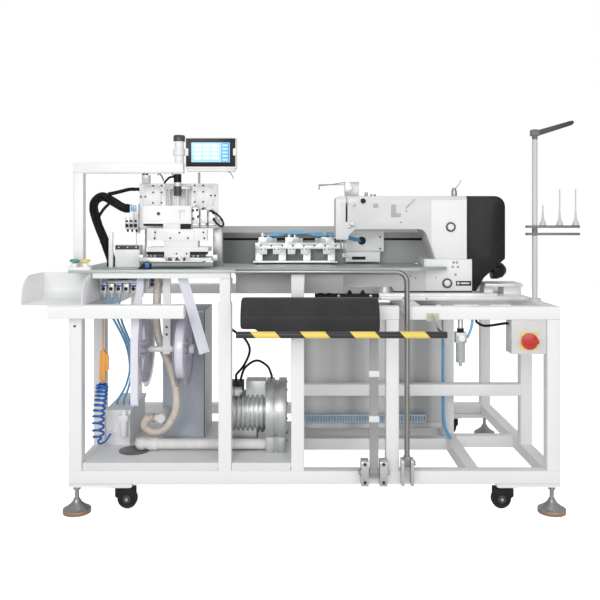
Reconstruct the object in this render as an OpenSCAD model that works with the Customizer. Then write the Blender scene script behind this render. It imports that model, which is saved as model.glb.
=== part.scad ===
// Pocket setter machine: welded tube frame, fold head, sewing head, transfer clamp and stacker.
// Millimetres. +X is the operator's right, +Y goes to the back, +Z is up.
// Plain numbers in the modules are measured from the middle of the frame's front at the nominal size.

/* [Frame] */
// Width of the frame over its corner posts
frame_w = 1870; // [1750:5:2000]
// Depth of the frame over its corner posts
frame_d = 1100; // [1000:5:1250]
// Side of the square tube
tube = 50; // [46:1:54]
// Corner radius of the square tube
tube_r = 4; // [2:0.5:6]
// Underside of the bottom rails above the floor
rail_z = 115; // [108:1:130]
// Top of the upper rails above the floor
deck_h = 790; // [770:1:830]
// Thickness of the corner plates
plate_t = 12; // [8:1:14]

/* [Feet and casters] */
// Diameter of a levelling foot
foot_d = 105; // [80:1:120]
// Diameter of a caster wheel
wheel_d = 75; // [65:1:80]
// Width of a caster wheel
wheel_w = 26; // [20:1:30]
// Radial play between an axle and its bore
play = 0.08; // [0.05:0.01:0.1]
// Gap between pieces that move past each other
gap = 0.4; // [0.3:0.05:0.6]

/* [Table] */
// Thickness of the table plate
table_t = 12; // [8:1:14]
// Depth of the table plate at its left end
table_d = 580; // [560:1:620]
// Width of the left tray
tray_w = 229; // [180:1:260]
// Height of the left tray
tray_h = 109; // [80:1:110]
// Thickness of the folded sheet
sheet = 2.5; // [2:0.1:3]

/* [Gantry and screen] */
// Side of the gantry tube
gantry_t = 40; // [36:1:44]
// Top of the gantry beam above the table
gantry_h = 420; // [400:1:460]
// Width of the operator screen
screen_w = 201; // [170:1:220]
// Height of the operator screen
screen_h = 123; // [100:1:130]

/* [Fold head] */
// Diameter of the guide rods
guide_d = 12; // [10:0.5:13]
// Height of the lifting stroke
fold_lift = 40; // [20:1:45]
// Travel of a folding plate
fold_in = 15; // [8:1:16]

/* [Sewing head] */
// Depth of the arm from front to back
arm_d = 180; // [150:1:184]
// Height of the arm's underside above the table
throat_h = 157; // [150:1:165]
// Diameter of the handwheel
hand_d = 76; // [60:1:80]

/* [Stacker] */
// Length of the stacker pad
pad_l = 516; // [420:1:560]
// Height of the stacker pad
pad_h = 128; // [100:1:140]
// Diameter of the bent wiper tube
wiper_d = 20; // [16:1:22]
// Diameter of the striped bar
bar_d = 24; // [18:1:28]
// Distance of the striped bar in front of the frame
bar_out = 200; // [185:1:240]

/* [Reels and blower] */
// Radius of a reel flange
reel_r = 150; // [110:1:155]
// Diameter of the blower housing
blower_d = 270; // [240:1:274]
// Height of the thread stand above the upper rails
stand_h = 700; // [600:1:760]

/* [Hidden] */
$fn = 48;
l_x = -frame_w / 2;
r_x = frame_w / 2;
rail_t = rail_z + tube;
deck_u = deck_h - tube;
table_h = deck_h + 135;
table_u = table_h - table_t;
back_y = frame_d - tube;
// offsets that carry the left, right, lower and upper groups with the frame
lx = l_x + 935;
rx = r_x - 935;
zb = rail_t - 165;
zu = deck_h - 790;
post2 = lx - 366;
post3 = lx - 89;
post4 = lx + 272;
inner = lx + 585;
ring = lx + 363;
mid_y = 345;
shelf_z = rail_t + 30;
tray_z = deck_h + 10;
tray_x = lx - 866;
head_y = 320;
arm_z = table_h + throat_h;
arm_t = arm_z + 140;
fold_x = lx - 569;
reel_y = 170;
reel_z = 601 + zu;
pivot_y = -25;
pad_z = 703 + zu;
pad_x = lx + 240;
wiper_x = lx + 348;
wiper_top = table_h - 1;
wiper_z = 204 + zb;
// the frame's place, so that the origin is under the middle of the whole machine
end_x = max(r_x - tube / 2 + foot_d / 2, rx + 1086);
shift_x = -(tray_x - tray_w + end_x) / 2;
shift_y = -(frame_d - tube / 2 + foot_d / 2 - bar_out - bar_d / 2) / 2;

// Shapes used by many pieces

function unit(v) = v / norm(v);

// Points of a fillet of radius r at corner b between a and c
function corner(a, b, c, r, n) =
    let (u = unit(a - b), v = unit(c - b), half = acos(u * v) / 2,
        o = b + unit(u + v) * r / sin(half),
        p = b + u * r / tan(half) - o, q = b + v * r / tan(half) - o,
        s = atan2(p.y, p.x), d = atan2(q.y, q.x) - s,
        w = d > 180 ? d - 360 : d < -180 ? d + 360 : d)
    [for (i = [0:n]) o + r * [cos(s + w * i / n), sin(s + w * i / n)]];

// Outline from [x, y, radius] corners
function rounded(p, n = 4) = let (m = len(p)) [for (i = [0:m - 1])
    let (b = p[i], a = p[(i + m - 1) % m], c = p[(i + 1) % m])
    each (b[2] > 0 ? corner([a.x, a.y], [b.x, b.y], [c.x, c.y], b[2], n) : [[b.x, b.y]])];

function frect(x0, x1, y0, y1, r) = rounded([[x0, y0, r], [x1, y0, r], [x1, y1, r], [x0, y1, r]], 3);

// Places on a binary grid of about a micrometre, so that faces that meet stay exactly together
function snap(v) = round(v * 1024) / 1024;
function snaps(p) = [for (v = p) snap(v)];

module at() { translate([snap(shift_x), snap(shift_y), 0]) children(); }

module box(x0, x1, y0, y1, z0, z1) {
    low = snaps([x0, y0, z0]);
    translate(low) cube(snaps([x1, y1, z1]) - low);
}

// Prisms with their outline in the XZ, YZ and XY plane
module outline(p) { polygon([for (q = p) snaps(q)]); }
module slab_y(y0, y1, p) {
    translate([0, snap(y1), 0]) rotate([90, 0, 0]) linear_extrude(snap(y1) - snap(y0)) outline(p);
}
module slab_x(x0, x1, p) {
    translate([snap(x0), 0, 0]) rotate([90, 0, 90]) linear_extrude(snap(x1) - snap(x0)) outline(p);
}
module slab_z(z0, z1, p) {
    translate([0, 0, snap(z0)]) linear_extrude(snap(z1) - snap(z0)) outline(p);
}

module rod_x(x0, x1, y, z, r) {
    translate(snaps([x0, y, z])) rotate([0, 90, 0]) cylinder(h = snap(x1) - snap(x0), r = r);
}
module rod_y(y0, y1, x, z, r) {
    translate(snaps([x, y0, z])) rotate([-90, 0, 0]) cylinder(h = snap(y1) - snap(y0), r = r);
}
module rod_z(z0, z1, x, y, r) { translate(snaps([x, y, z0])) cylinder(h = snap(z1) - snap(z0), r = r); }
// A cone that stands on z0
module cone_z(z0, h, x, y, r1, r2) { translate(snaps([x, y, z0])) cylinder(h = snap(h), r1 = r1, r2 = r2); }

// Square tubes, closed at both ends by welds or caps
module tube_x(x0, x1, y, z, s = tube) { slab_x(x0, x1, frect(y, y + s, z, z + s, tube_r)); }
module tube_y(x, y0, y1, z, s = tube) { slab_y(y0, y1, frect(x, x + s, z, z + s, tube_r)); }
module tube_z(x, y, z0, z1, s = tube) { slab_z(z0, z1, frect(x, x + s, y, y + s, tube_r)); }

// A hose along points, with flat facets round it
function between(p, i, t) =
    let (a = p[max(i - 1, 0)], b = p[i], c = p[i + 1], d = p[min(i + 2, len(p) - 1)])
    0.5 * (2 * b + (c - a) * t + (2 * a - 5 * b + 4 * c - d) * t * t + (3 * b - a - 3 * c + d) * t * t * t);
function curve(p, n) = concat([for (i = [0:len(p) - 2]) for (k = [0:n - 1]) between(p, i, k / n)],
    [p[len(p) - 1]]);
module hose(path, r, sides = 8) {
    n = len(path);
    dir = [for (i = [0:n - 1]) unit(path[min(i + 1, n - 1)] - path[max(i - 1, 0)])];
    first = unit(cross(dir[0], abs(dir[0].z) < 0.9 ? [0, 0, 1] : [1, 0, 0]));
    side = [for (i = 0, u = first; i < n; i = i + 1,
        u = unit(u - dir[min(i, n - 1)] * (u * dir[min(i, n - 1)]))) u];
    points = [for (i = [0:n - 1]) for (j = [0:sides - 1]) let (a = 360 * j / sides)
        path[i] + r * (cos(a) * side[i] + sin(a) * cross(dir[i], side[i]))];
    walls = [for (i = [0:n - 2]) for (j = [0:sides - 1])
        let (a = i * sides + j, b = i * sides + (j + 1) % sides)
        each [[a, a + sides, b + sides], [a, b + sides, b]]];
    ends = [[for (j = [0:sides - 1]) j], [for (j = [sides - 1:-1:0]) (n - 1) * sides + j]];
    polyhedron(points, concat(walls, ends));
}

// Frame

module corner_plate(left, front) {
    x = left ? l_x : r_x - 240;
    y = front ? 0 : frame_d - 90;
    box(x, x + 240, y, y + 90, rail_z - plate_t, rail_z);
    c = left ? l_x + 195 : r_x - 195;
    box(c - 38, c + 38, y + 8, y + 82, rail_z - plate_t - 5, rail_z - plate_t);
}

module frame_posts() color("white") at() {
    tube_z(l_x, 0, rail_t, tray_z);
    tube_z(post2, 0, rail_t, deck_h + 14);
    box(post2 + 5, post2 + tube - 5, 5, tube - 5, deck_h + 14, table_u - 60);
    tube_z(post3, 0, rail_t, table_u);
    tube_z(post4, 0, rail_t, deck_u);
    tube_z(r_x - tube, 0, rail_t, deck_u);
    tube_z(r_x - tube, mid_y, rail_t, deck_u);
    tube_z(inner, 510, rail_t, deck_u);
    tube_z(l_x, mid_y, rail_t, table_u - 20);
    tube_z(post3, mid_y, rail_t, deck_u);
    for (x = [l_x, post3, r_x - tube]) tube_z(x, back_y, rail_t, deck_u);
    tube_z(l_x, 590, deck_h, table_u - 20);
    tube_z(post3, 545, deck_h, table_u - tube);
    tube_z(ring, 590, deck_h, table_u - 20);
    for (left = [true, false]) for (front = [true, false]) corner_plate(left, front);
}

module frame_long_rails() color("white") at() {
    for (y = [0, back_y]) tube_x(l_x, r_x, y, rail_z);
    tube_x(inner + tube, r_x - tube, 465, rail_z);
    for (y = [430, 600]) tube_x(post3 + tube, inner, y, rail_z);
    tube_x(l_x + tube, post3, 560, rail_z);
    tube_x(post3 + tube, r_x - tube, mid_y, 370 + zb);
    tube_x(ring, r_x, 0, deck_u);
    tube_x(post4 - 31, post4 + tube, 0, deck_u);
    tube_x(l_x, r_x, back_y, deck_u);
    tube_x(ring + tube, r_x - tube, 510, deck_u);
    tube_x(l_x - 65, lx - 490, -tube, tray_z - tube);
    // white rails under the table's edges
    box(lx - 862, lx - 326, 64, 104, table_u - 20, table_u);
    box(l_x, lx + 466, 600, 640, table_u - 20, table_u);
}

module frame_cross_rails() color("white") at() {
    for (x = [l_x, post3, inner, r_x - tube]) tube_y(x, tube, back_y, rail_z);
    tube_y(l_x, tube, mid_y, deck_u);
    tube_y(l_x, mid_y + tube, back_y, deck_u);
    for (x = [post3, ring, r_x - tube]) tube_y(x, tube, back_y, deck_u);
    tube_y(post3, tube, 600, table_u - tube);
    box(post2 + 5, post2 + tube - 5, 5, 104, table_u - 60, table_u - 20);
    box(l_x, l_x + 40, 200, 600, table_u - 20, table_u);
}

module foot(x, y) {
    top = rail_z - plate_t;
    rod_z(0, 16, x, y, foot_d / 2);
    cone_z(16, 22, x, y, foot_d / 2 - 4, 20);
    cone_z(38, 18, x, y, 20, 10);
    rod_z(56, top, x, y, 8);
    translate([x, y, top - 14]) cylinder(h = 14, r = 15, $fn = 6);
}

module levelling_feet() color("silver") at() {
    for (x = [l_x + tube / 2, r_x - tube / 2]) for (y = [tube / 2, frame_d - tube / 2]) foot(x, y);
}

module floor_shelf() color("lightgray") at() {
    x0 = l_x + tube + 2;
    x1 = post3 - 2;
    difference() {
        box(x0, x1, 5, 605, rail_t, shelf_z);
        box(x0 + sheet, x1 - sheet, 5 + sheet, 605 - sheet, rail_t - 1, shelf_z - sheet);
        box(post2 - 1, post2 + tube + 1, 0, tube + 2, rail_t - 1, shelf_z + 1);
    }
}

module left_tray() color("white") at() {
    x0 = tray_x - tray_w;
    z1 = tray_z + tray_h;
    side = rounded([[-60, tray_z, 0], [190, tray_z, 0], [190, z1, 0], [-60, z1, min(100, tray_h - 8)]], 8);
    slab_x(x0, x0 + 3, side);
    slab_x(tray_x - 3, tray_x, side);
    slab_x(x0 + 3, tray_x - 3, concat([[-60, tray_z], [190, tray_z], [190, z1], [190 - sheet, z1]],
        [for (a = [0:-15:-90]) [190 - sheet - 45 + 45 * cos(a), tray_z + sheet + 45 + 45 * sin(a)]],
        [[-60, tray_z + sheet]]));
}

module table_top() color("silver") at() {
    slab_z(table_u, table_h, rounded([[l_x - 20, 60, 4], [lx - 326, 60, 0], [lx + 440, 205, 60],
        [lx + 560, 285, 18], [lx + 560, 312, 10], [lx + 466, 312, 0], [lx + 466, 60 + table_d, 0],
        [l_x - 20, 60 + table_d, 4]]));
}

module apron_panels() color("lightgray") at() {
    for (x = [[post2 + tube + 2, post3 - 2], [post3 + tube + 2, lx + 120]])
        difference() {
            box(x[0], x[1], 185, 200, table_u - 88, table_u);
            box(x[0] - 1, x[1] + 1, 185 + sheet, 201, table_u - 88 + sheet, table_u - sheet);
        }
}

// Gantry, screen and buttons

column_x = lx - 533;
column_y = 100 + gantry_t / 2;
beam_z = table_h + gantry_h;

module gantry() color("white") at() {
    tube_z(l_x - 13, 100, table_h, beam_z - gantry_t, gantry_t);
    tube_x(l_x - 13, column_x + 18, 100, beam_z - gantry_t, gantry_t);
    rod_z(beam_z, beam_z + 85, column_x, column_y, 18);
    rod_z(beam_z + 85, beam_z + 106, column_x, column_y, 23);
    cone_z(beam_z + 106, 4, column_x, column_y, 23, 20);
}

module screen() color("white") at() {
    x0 = column_x + 28;
    z0 = beam_z - 25;
    difference() {
        slab_y(column_y - 36, column_y - 4, frect(x0, x0 + screen_w, z0, z0 + screen_h, 6));
        box(x0 + 3, x0 + screen_w - 3, column_y - 37, column_y - 34, z0 + 8, z0 + screen_h - 3);
    }
    difference() {
        union() {
            rod_z(beam_z + 30, beam_z + 55, column_x, column_y, 24);
            box(column_x + 12, x0 + 40, column_y - 4, column_y + 6, beam_z + 33, beam_z + 52);
        }
        rod_z(beam_z + 29, beam_z + 56, column_x, column_y, 18 + play);
    }
}

button_x = [lx - 936, lx - 893];

module control_boxes() color("white") at() {
    difference() {
        union() {
            box(lx - 958, lx - 871, 62, 98, table_h, table_h + 12);
            for (x = button_x) rod_z(table_h + 12, table_h + 26, x, 80, 13);
        }
        for (x = button_x) rod_z(table_h + 5, table_h + 27, x, 80, 8 + play);
    }
    difference() {
        box(lx - 828, lx - 726, 285, 335, table_h, table_h + 91);
        box(lx - 818, lx - 736, 292, 328, table_h + 70, table_h + 92);
    }
    box(lx - 849, lx - 833, 262, 277, table_h, table_h + 145);
}

module push_button(x) {
    rod_z(table_h + 10, table_h + 31, x, 80, 8);
    rod_z(table_h + 31, table_h + 38, x, 80, 18);
    cone_z(table_h + 38, 4, x, 80, 18, 14);
}

module green_button() color("green") at() push_button(button_x[0]);
module yellow_button() color("yellow") at() push_button(button_x[1]);

// Fold head

module fold_columns() color("gray") at() {
    for (x = [fold_x - 184, fold_x + 144]) tube_z(x, 340, table_h, table_h + 160, 40);
    tube_x(fold_x - 184, fold_x + 184, 340, table_h + 160, 40);
}

plate_z0 = table_h + 160;
plate_z1 = table_h + 350;

module fold_back_plate() color("white") at() difference() {
    slab_y(325, 340, frect(fold_x - 166, fold_x + 166, plate_z0, plate_z1, 6));
    box(fold_x - 54, fold_x + 54, 320, 333, plate_z0 + 56, plate_z1 + 1);
    for (s = [-1, 1]) for (k = [0:2]) rod_y(320, 341, fold_x + s * (80 + 32 * k), plate_z1 - 16, 3.3);
    for (s = [-1, 1]) for (k = [0:1]) rod_y(320, 341, fold_x + s * (80 + 64 * k), plate_z1 - 96, 3.3);
}

guide_x = [fold_x - 36, fold_x + 36];
lift_z = table_h + 297;

module fold_actuators() color("dimgray") at() {
    // guide rods in their top bridge, and the lift cylinder
    for (x = guide_x) rod_z(table_h + 150, plate_z1 - 13, x, 308, guide_d / 2);
    difference() {
        union() {
            box(fold_x - 52, fold_x + 52, 296, 333, plate_z1 - 25, plate_z1 - 13);
            rod_z(lift_z, plate_z1 + 38, fold_x, 300, 16);
            box(fold_x - 16, fold_x + 16, 306, 333, lift_z + 20, lift_z + 40);
        }
        rod_z(lift_z - 1, plate_z1 + 20, fold_x, 300, 5 + play);
    }
    box(fold_x - 151, fold_x - 121, 305, 338, plate_z1, plate_z1 + 35);
    // valve blocks beside the plate
    for (k = [0:2])
        box(fold_x - 220 + 18 * k, fold_x - 203 + 18 * k, 300, 338,
            table_h + 156, table_h + (k == 0 ? 208 : 226));
    box(fold_x - 200, fold_x - 166, 300, 338, table_h + 226, table_h + 264);
    box(fold_x - 220, fold_x - 166, 308, 334, table_h + 170, table_h + 205);
    for (k = [0:2])
        box(fold_x + 64 + 34 * k, fold_x + 92 + 34 * k, 282, 325, table_h + 165, table_h + 247 - 8 * k);
    box(fold_x + 64, fold_x + 160, 300, 325, table_h + 180, table_h + 210);
}

module fold_slide() color("white") at() {
    difference() {
        union() {
            box(fold_x - 143, fold_x + 60, 288, 322, table_h + 180, table_h + 255);
            box(fold_x - 60, fold_x + 60, 294, 322, table_h + 157, table_h + 180);
            box(fold_x - 119, fold_x + 60, 255, 322, table_h + 110, table_h + 157);
            box(fold_x + 60, fold_x + 129, 255, 280, table_h + 110, table_h + 157);
            rod_z(table_h + 255, lift_z + 30, fold_x, 300, 5);
        }
        for (x = guide_x) rod_z(table_h + 104, table_h + 256, x, 308, guide_d / 2 + play);
        for (x = [-89, 74]) box(fold_x + x, fold_x + x + 6, 254, 262, table_h + 109, table_h + 158);
        box(fold_x + 10, fold_x + 32, 287, 300, table_h + 200, table_h + 236);
    }
    box(fold_x - 51, fold_x + 91, 262, 318, table_h + 84, table_h + 110);
    difference() {
        box(fold_x - 113, fold_x + 139, 205, 335, table_h + 66, table_h + 84);
        for (s = [-1, 1]) for (k = [0:2])
            rod_z(table_h + 65, table_h + 85, fold_x + 13 + s * 105, 225 + 40 * k, 4);
    }
    box(fold_x - 39, fold_x + 65, 205, 335, table_h + 43, table_h + 66);
    for (x = [-8, 24]) for (y = [215, 300])
        box(fold_x + x, fold_x + x + 10, y, y + 14, table_h + 29, table_h + 43);
    box(fold_x - 91, fold_x + 124, 150, 335, table_h + 23, table_h + 29);
}

module fold_plate(s) {
    x0 = fold_x + 13 + s * 40;
    difference() {
        box(min(x0, x0 + s * 105), max(x0, x0 + s * 105), 165, 330, table_h + 29 + gap, table_h + 43 - gap);
        box(min(x0 - s, x0 + s * 60), max(x0 - s, x0 + s * 60), 190, 225, table_h + 28, table_h + 44);
    }
    grip = [x0 + s * 104, x0 + s * 122];
    box(min(grip), max(grip), 225, 290, table_h + 29 + gap, table_h + 52);
}

module fold_plate_left() color("silver") at() fold_plate(-1);
module fold_plate_right() color("silver") at() fold_plate(1);

// Transfer along the rear beam

slot_z = table_h + 105;

module rear_axis_beam() color("gray") at() {
    slab_x(lx - 411, lx + 551, [[640, table_h], [640, table_h + 168], [592, table_h + 168],
        [560, table_h + 140],
        [560, slot_z + 8], [604, slot_z + 8], [604, slot_z], [560, slot_z], [560, table_h]]);
}

// everything tall on the transfer runs between the arm's back and the beam
run_y0 = 506;
run_y1 = 558;

module transfer_carriage() color("white") at() {
    x0 = lx + 150;
    box(lx + 110, lx + 260, run_y1, 600, slot_z + gap, slot_z + 8 - gap);
    difference() {
        slab_x(x0, x0 + 170, frect(run_y0, run_y1, table_h + 54, table_h + 143, 6));
        slab_x(x0 - 1, x0 + 171, frect(run_y0 + 4, run_y1 - 4, table_h + 58, table_h + 139, 3));
        rod_y(run_y0 - 1, run_y0 + 5, x0 + 72, table_h + 103, 18);
    }
    difference() {
        box(x0, x0 + 153, run_y0, run_y1, table_h + 9, table_h + 54);
        box(x0 + 27, x0 + 88, run_y0 - 1, run_y0 + 30, table_h + 18, table_h + 32);
    }
}

module transfer_clamp() color("silver") at() {
    y1 = run_y0 + 28;
    difference() {
        box(lx - 255, lx + 150, run_y0, y1, table_h + 66, table_h + 94);
        for (k = [0:7]) rod_y(run_y0 - 1, y1 + 1, lx - 230 + 48 * k, table_h + 80, 4);
    }
    for (x = [-255, -150, -40, 70]) box(lx + x, lx + x + 32, run_y0 + 4, y1 - 4, table_h + 15, table_h + 66);
    for (x = [-240, -120, 40]) {
        box(lx + x, lx + x + 58, run_y0, run_y0 + 44, table_h + 94, table_h + 118);
        rod_z(table_h + 118, table_h + 138, lx + x + 16, run_y0 + 22, 9);
        rod_z(table_h + 118, table_h + 132, lx + x + 42, run_y0 + 22, 7);
    }
    difference() {
        box(lx - 259, lx + 108, 422, run_y0 + 34, table_h + 9, table_h + 15);
        box(lx - 232, lx + 80, 424, 468, table_h + 8, table_h + 16);
    }
}

// Sewing head

bed_z = deck_h + 30;
hand_z = bed_z + 83;
hand_x = lx + 776;

module sewing_bed() color("lightgray") at() {
    slab_y(head_y, head_y + arm_d, rounded([[lx + 110, bed_z + 18, 12], [lx + 110, table_u - 1, 6],
        [lx + 469, table_u - 1, 0], [lx + 469, table_h + 30, 0], [lx + 672, table_h + 30, 0],
        [lx + 672, bed_z, 0], [lx + 345, bed_z, 0], [lx + 332, bed_z + 18, 0]]));
}

module sewing_arm() color("lightgray") at() difference() {
    intersection() {
        slab_y(head_y, head_y + arm_d, rounded([[lx + 97, arm_z - 44, 4], [lx + 97, arm_t, 14],
            [lx + 650, arm_t, 0], [lx + 650, table_h + 30, 0], [lx + 517, table_h + 30, 0],
            [lx + 472, arm_z, 34], [lx + 178, arm_z, 12], [lx + 152, arm_z - 26, 0],
            [lx + 148, arm_z - 44, 4]], 6));
        slab_x(lx + 96, lx + 651, rounded([[head_y, table_h, 0], [head_y, arm_t, 18],
            [head_y + arm_d, arm_t, 26], [head_y + arm_d, table_h, 0]], 5));
    }
    rod_z(arm_z - 45, arm_z + 14, lx + 122, head_y + 80, 4 + play);
    // take-up slot and the recess on the arm's face
    box(lx + 138, lx + 146, head_y - 1, head_y + 8, arm_z + 30, arm_z + 110);
    box(lx + 330, lx + 350, head_y - 1, head_y + 2, arm_z + 50, arm_z + 104);
    box(lx + 350, lx + 372, head_y - 1, head_y + 2, arm_z + 50, arm_z + 66);
}

module motor_cover() color("black") at() difference() {
    slab_y(head_y + 4, head_y + arm_d - 4, rounded([[lx + 650, table_h + 30, 0], [lx + 650, arm_t, 4],
        [lx + 813, arm_t, 45], [lx + 813, table_h + 32, 10], [lx + 724, table_h - 48, 12],
        [lx + 690, bed_z, 4], [lx + 672, bed_z, 0], [lx + 672, table_h + 30, 0]], 6));
    rod_x(lx + 671, hand_x, 410, hand_z, 8 + play);
    rod_x(hand_x - 6, lx + 814, 410, hand_z, hand_d / 2 + 4);
}

module head_fittings() color("silver") at() {
    for (p = [[581, arm_z + 9], [566, bed_z + 34]]) {
        rod_y(head_y - 7, head_y, lx + p.x, p.y, 21);
        rod_y(head_y - 10, head_y - 7, lx + p.x, p.y, 14);
    }
    rod_y(head_y - 6, head_y, lx + 211, arm_z + 119, 8);
    box(lx + 140, lx + 198, 370, 430, arm_t, arm_t + 62);
    rod_x(lx + 26, lx + 140, 400, arm_t + 52, 2.5);
    rod_z(arm_t + 30, arm_t + 54, lx + 28, 400, 3);
    rod_z(arm_t, arm_t + 18, lx + 232, 400, 7);
    rod_z(arm_t, arm_t + 10, lx + 262, 400, 12);
    rod_z(arm_t, arm_t + 26, lx + 613, 400, 12);
    rod_z(arm_t + 26, arm_t + 38, lx + 613, 400, 9);
}

module bed_base() color("black") at() {
    top = deck_h + 16;
    box(lx + 270, lx + 872, 230, 560, deck_h, top);
    for (y = [250, 280]) box(lx + 270, lx + 760, y, y + 14, top, top + 10);
    // round feet under the bed
    rod_z(top, bed_z + 18, lx + 306, 345, 25);
    for (p = [[503, 345], [575, 345], [420, 470], [630, 470]]) rod_z(top, bed_z, lx + p.x, p.y, 18);
    // shelf under the handwheel
    box(lx + 735, lx + 775, 370, 450, top, top + 32);
    box(lx + 812, lx + 886, 340, 440, top, top + 32);
    box(lx + 730, lx + 890, 330, 480, top + 32, top + 44);
}

module needle_bar() color("silver") at() {
    rod_z(arm_z - 92, arm_z + 6, lx + 122, head_y + 80, 4);
    rod_z(arm_z - 112, arm_z - 92, lx + 122, head_y + 80, 1.2);
}

module handwheel() color("black") at() {
    r = hand_d / 2;
    difference() {
        rod_x(hand_x, hand_x + 24, 410, hand_z, r);
        for (a = [0:30:330])
            rod_x(hand_x - 1, hand_x + 20, 410 + (r + 2) * cos(a), hand_z + (r + 2) * sin(a), 4);
    }
    translate(snaps([hand_x + 24, 410, hand_z])) rotate([0, 90, 0]) {
        cylinder(h = 24, r1 = r, r2 = r - 8);
        translate([0, 0, 24]) cylinder(h = 14, r1 = r - 8, r2 = r - 24);
    }
    rod_x(lx + 672 + gap, hand_x, 410, hand_z, 8);
}

module thread_stand() color("gray") at() {
    px = rx + 905;
    top = deck_h + stand_h;
    rod_z(deck_h, deck_h + 10, px, 217, 24);
    rod_z(deck_h + 10, top, px, 217, 11);
    for (z = [1058, 1088]) box(rx + 870, rx + 1086, 205, 229, z + zu, z + 10 + zu);
    for (p = [[928, 1181], [997, 1247], [1062, 1247]]) {
        cone_z(1098 + zu, 24, rx + p[0] + 10, 217, 11, 5);
        rod_z(1122 + zu, p[1] + zu, rx + p[0] + 10, 217, 2.5);
    }
    box(px - 16, px + 16, 203, 231, top - 26, top - 2);
    translate([px + 8, 211, top - 14]) rotate([0, -14, 0]) cube([150, 12, 6]);
}

// Right bay

module switch_box() color("lightgray") at() {
    difference() {
        union() {
            box(rx + 752, r_x - tube - 1, 10, 90, deck_u - 132, deck_u);
            box(rx + 785, rx + 851, 6, 10, deck_u - 115, deck_u - 49);
        }
        rod_y(5, 25, rx + 818, deck_u - 82, 5 + play);
    }
}

module switch_knob() color("red") at() {
    rod_y(-4, 6 - gap, rx + 818, deck_u - 82, 31);
    box(rx + 787.5, rx + 848.5, -18, -4, deck_u - 90, deck_u - 74);
    rod_y(6 - gap, 22, rx + 818, deck_u - 82, 5);
}

// between the ring post and the switch box
filter_x = (ring + tube + rx + 752) / 2 - 22.5;

module filter_regulator() color("silver") at() {
    rod_z(deck_u - 50, deck_u, filter_x, 25, 10);
    box(filter_x - 20, filter_x + 20, 5, 45, deck_u - 90, deck_u - 50);
    rod_z(deck_u - 165, deck_u - 90, filter_x, 25, 17);
    rod_z(deck_u - 180, deck_u - 165, filter_x, 25, 7);
    rod_y(0, 5, filter_x, deck_u - 70, 12);
}

// the cabinet hangs on the back of the middle rail
cabinet_z = 220 + zb;

module electrical_cabinet() color("gray") at() {
    difference() {
        box(post3 + tube + 3, lx + 558, mid_y + tube, 650, cabinet_z, deck_u - 2);
        box(post3 + tube + 2, lx + 559, mid_y + tube - 1, mid_y + tube + 2, cabinet_z + 22, cabinet_z + 25);
    }
}

// Slotted duct for the wires, along the cabinet's foot
module wire_duct() color("lightsteelblue") at() {
    y0 = mid_y + tube - 24;
    difference() {
        box(lx - 34, lx + 487, y0, mid_y + tube, cabinet_z + 30, cabinet_z + 64);
        for (k = [0:42])
            box(lx - 28 + 12 * k, lx - 22 + 12 * k, y0 - 1, y0 + 12, cabinet_z + 36, cabinet_z + 58);
    }
}

// Left bay

blower_z = shelf_z + 140;

module blower_housing() color("silver") at() {
    difference() {
        union() {
            rod_x(lx - 191, lx - 110, 240, blower_z, blower_d / 2);
            box(lx - 191, lx - 112, 130, 350, shelf_z, shelf_z + 60);
        }
        rod_x(lx - 160, lx - 141, 240, blower_z, 400);
    }
    rod_x(lx - 160, lx - 141, 240, blower_z, blower_d / 2 - 10);
    box(lx - 160, lx - 141, 140, 340, shelf_z, shelf_z + 60);
}

module blower_motor() color("silver") at() {
    for (k = [0:8]) rod_x(lx - 366 + 19 * k, lx - 356 + 19 * k, 240, blower_z, 85);
    rod_x(lx - 366, lx - 191, 240, blower_z, 76);
    rod_x(lx - 380, lx - 366, 240, blower_z, 70);
    difference() {
        box(lx - 275, lx - 195, 200, 280, blower_z + 50, blower_z + 130);
        rod_x(lx - 276, lx - 194, 240, blower_z, 70);
    }
    for (y = [200, 280]) difference() {
        box(lx - 350, lx - 230, y - 12, y + 12, shelf_z, blower_z - 30);
        rod_x(lx - 351, lx - 229, 240, blower_z, 70);
    }
    rod_x(lx - 350, lx - 290, 195, blower_z + 92, 17);
    difference() {
        box(lx - 336, lx - 286, 214, 266, blower_z + 60, blower_z + 125);
        rod_x(lx - 337, lx - 285, 240, blower_z, 70);
    }
}

pipe_z = shelf_z + 28;
outlet_z = shelf_z + 117;

module vacuum_pipe() color("white") at() {
    rod_x(lx - 690, lx - 191, 158, pipe_z, 20);
    rod_x(lx - 664, lx - 626, 158, pipe_z, 23.5);
    translate([lx - 690, 158, pipe_z]) sphere(r = 25.5);
    rod_z(pipe_z, shelf_z + 50, lx - 690, 158, 23.5);
    rod_z(shelf_z, shelf_z + 4, lx - 720, 158, 60);
    // outlet of the air cabinet, with the spout for the suction hose
    rod_y(200, 345, lx - 622, outlet_z, 18);
    rod_x(lx - 648, lx - 622, 215, outlet_z, 14);
}

module air_box() color("white") at() {
    box(lx - 854, lx - 756, 240, 545, shelf_z, shelf_z + 128);
    box(lx - 858, lx - 752, 236, 549, shelf_z + 128, shelf_z + 143);
    rod_z(shelf_z + 40, shelf_z + 105, lx - 776, 222, 15);
    box(lx - 794, lx - 758, 206, 240, shelf_z + 105, shelf_z + 126);
    rod_z(shelf_z + 126, shelf_z + 150, lx - 776, 220, 12);
    rod_y(215, 240, lx - 828, shelf_z + 51, 8);
}

module air_cabinet() color("lightsteelblue") at() difference() {
    box(lx - 640, lx - 459, 345, 600, shelf_z, deck_u - 5);
    box(lx - 632, lx - 467, 344, 347, shelf_z + 10, deck_u - 15);
}

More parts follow.
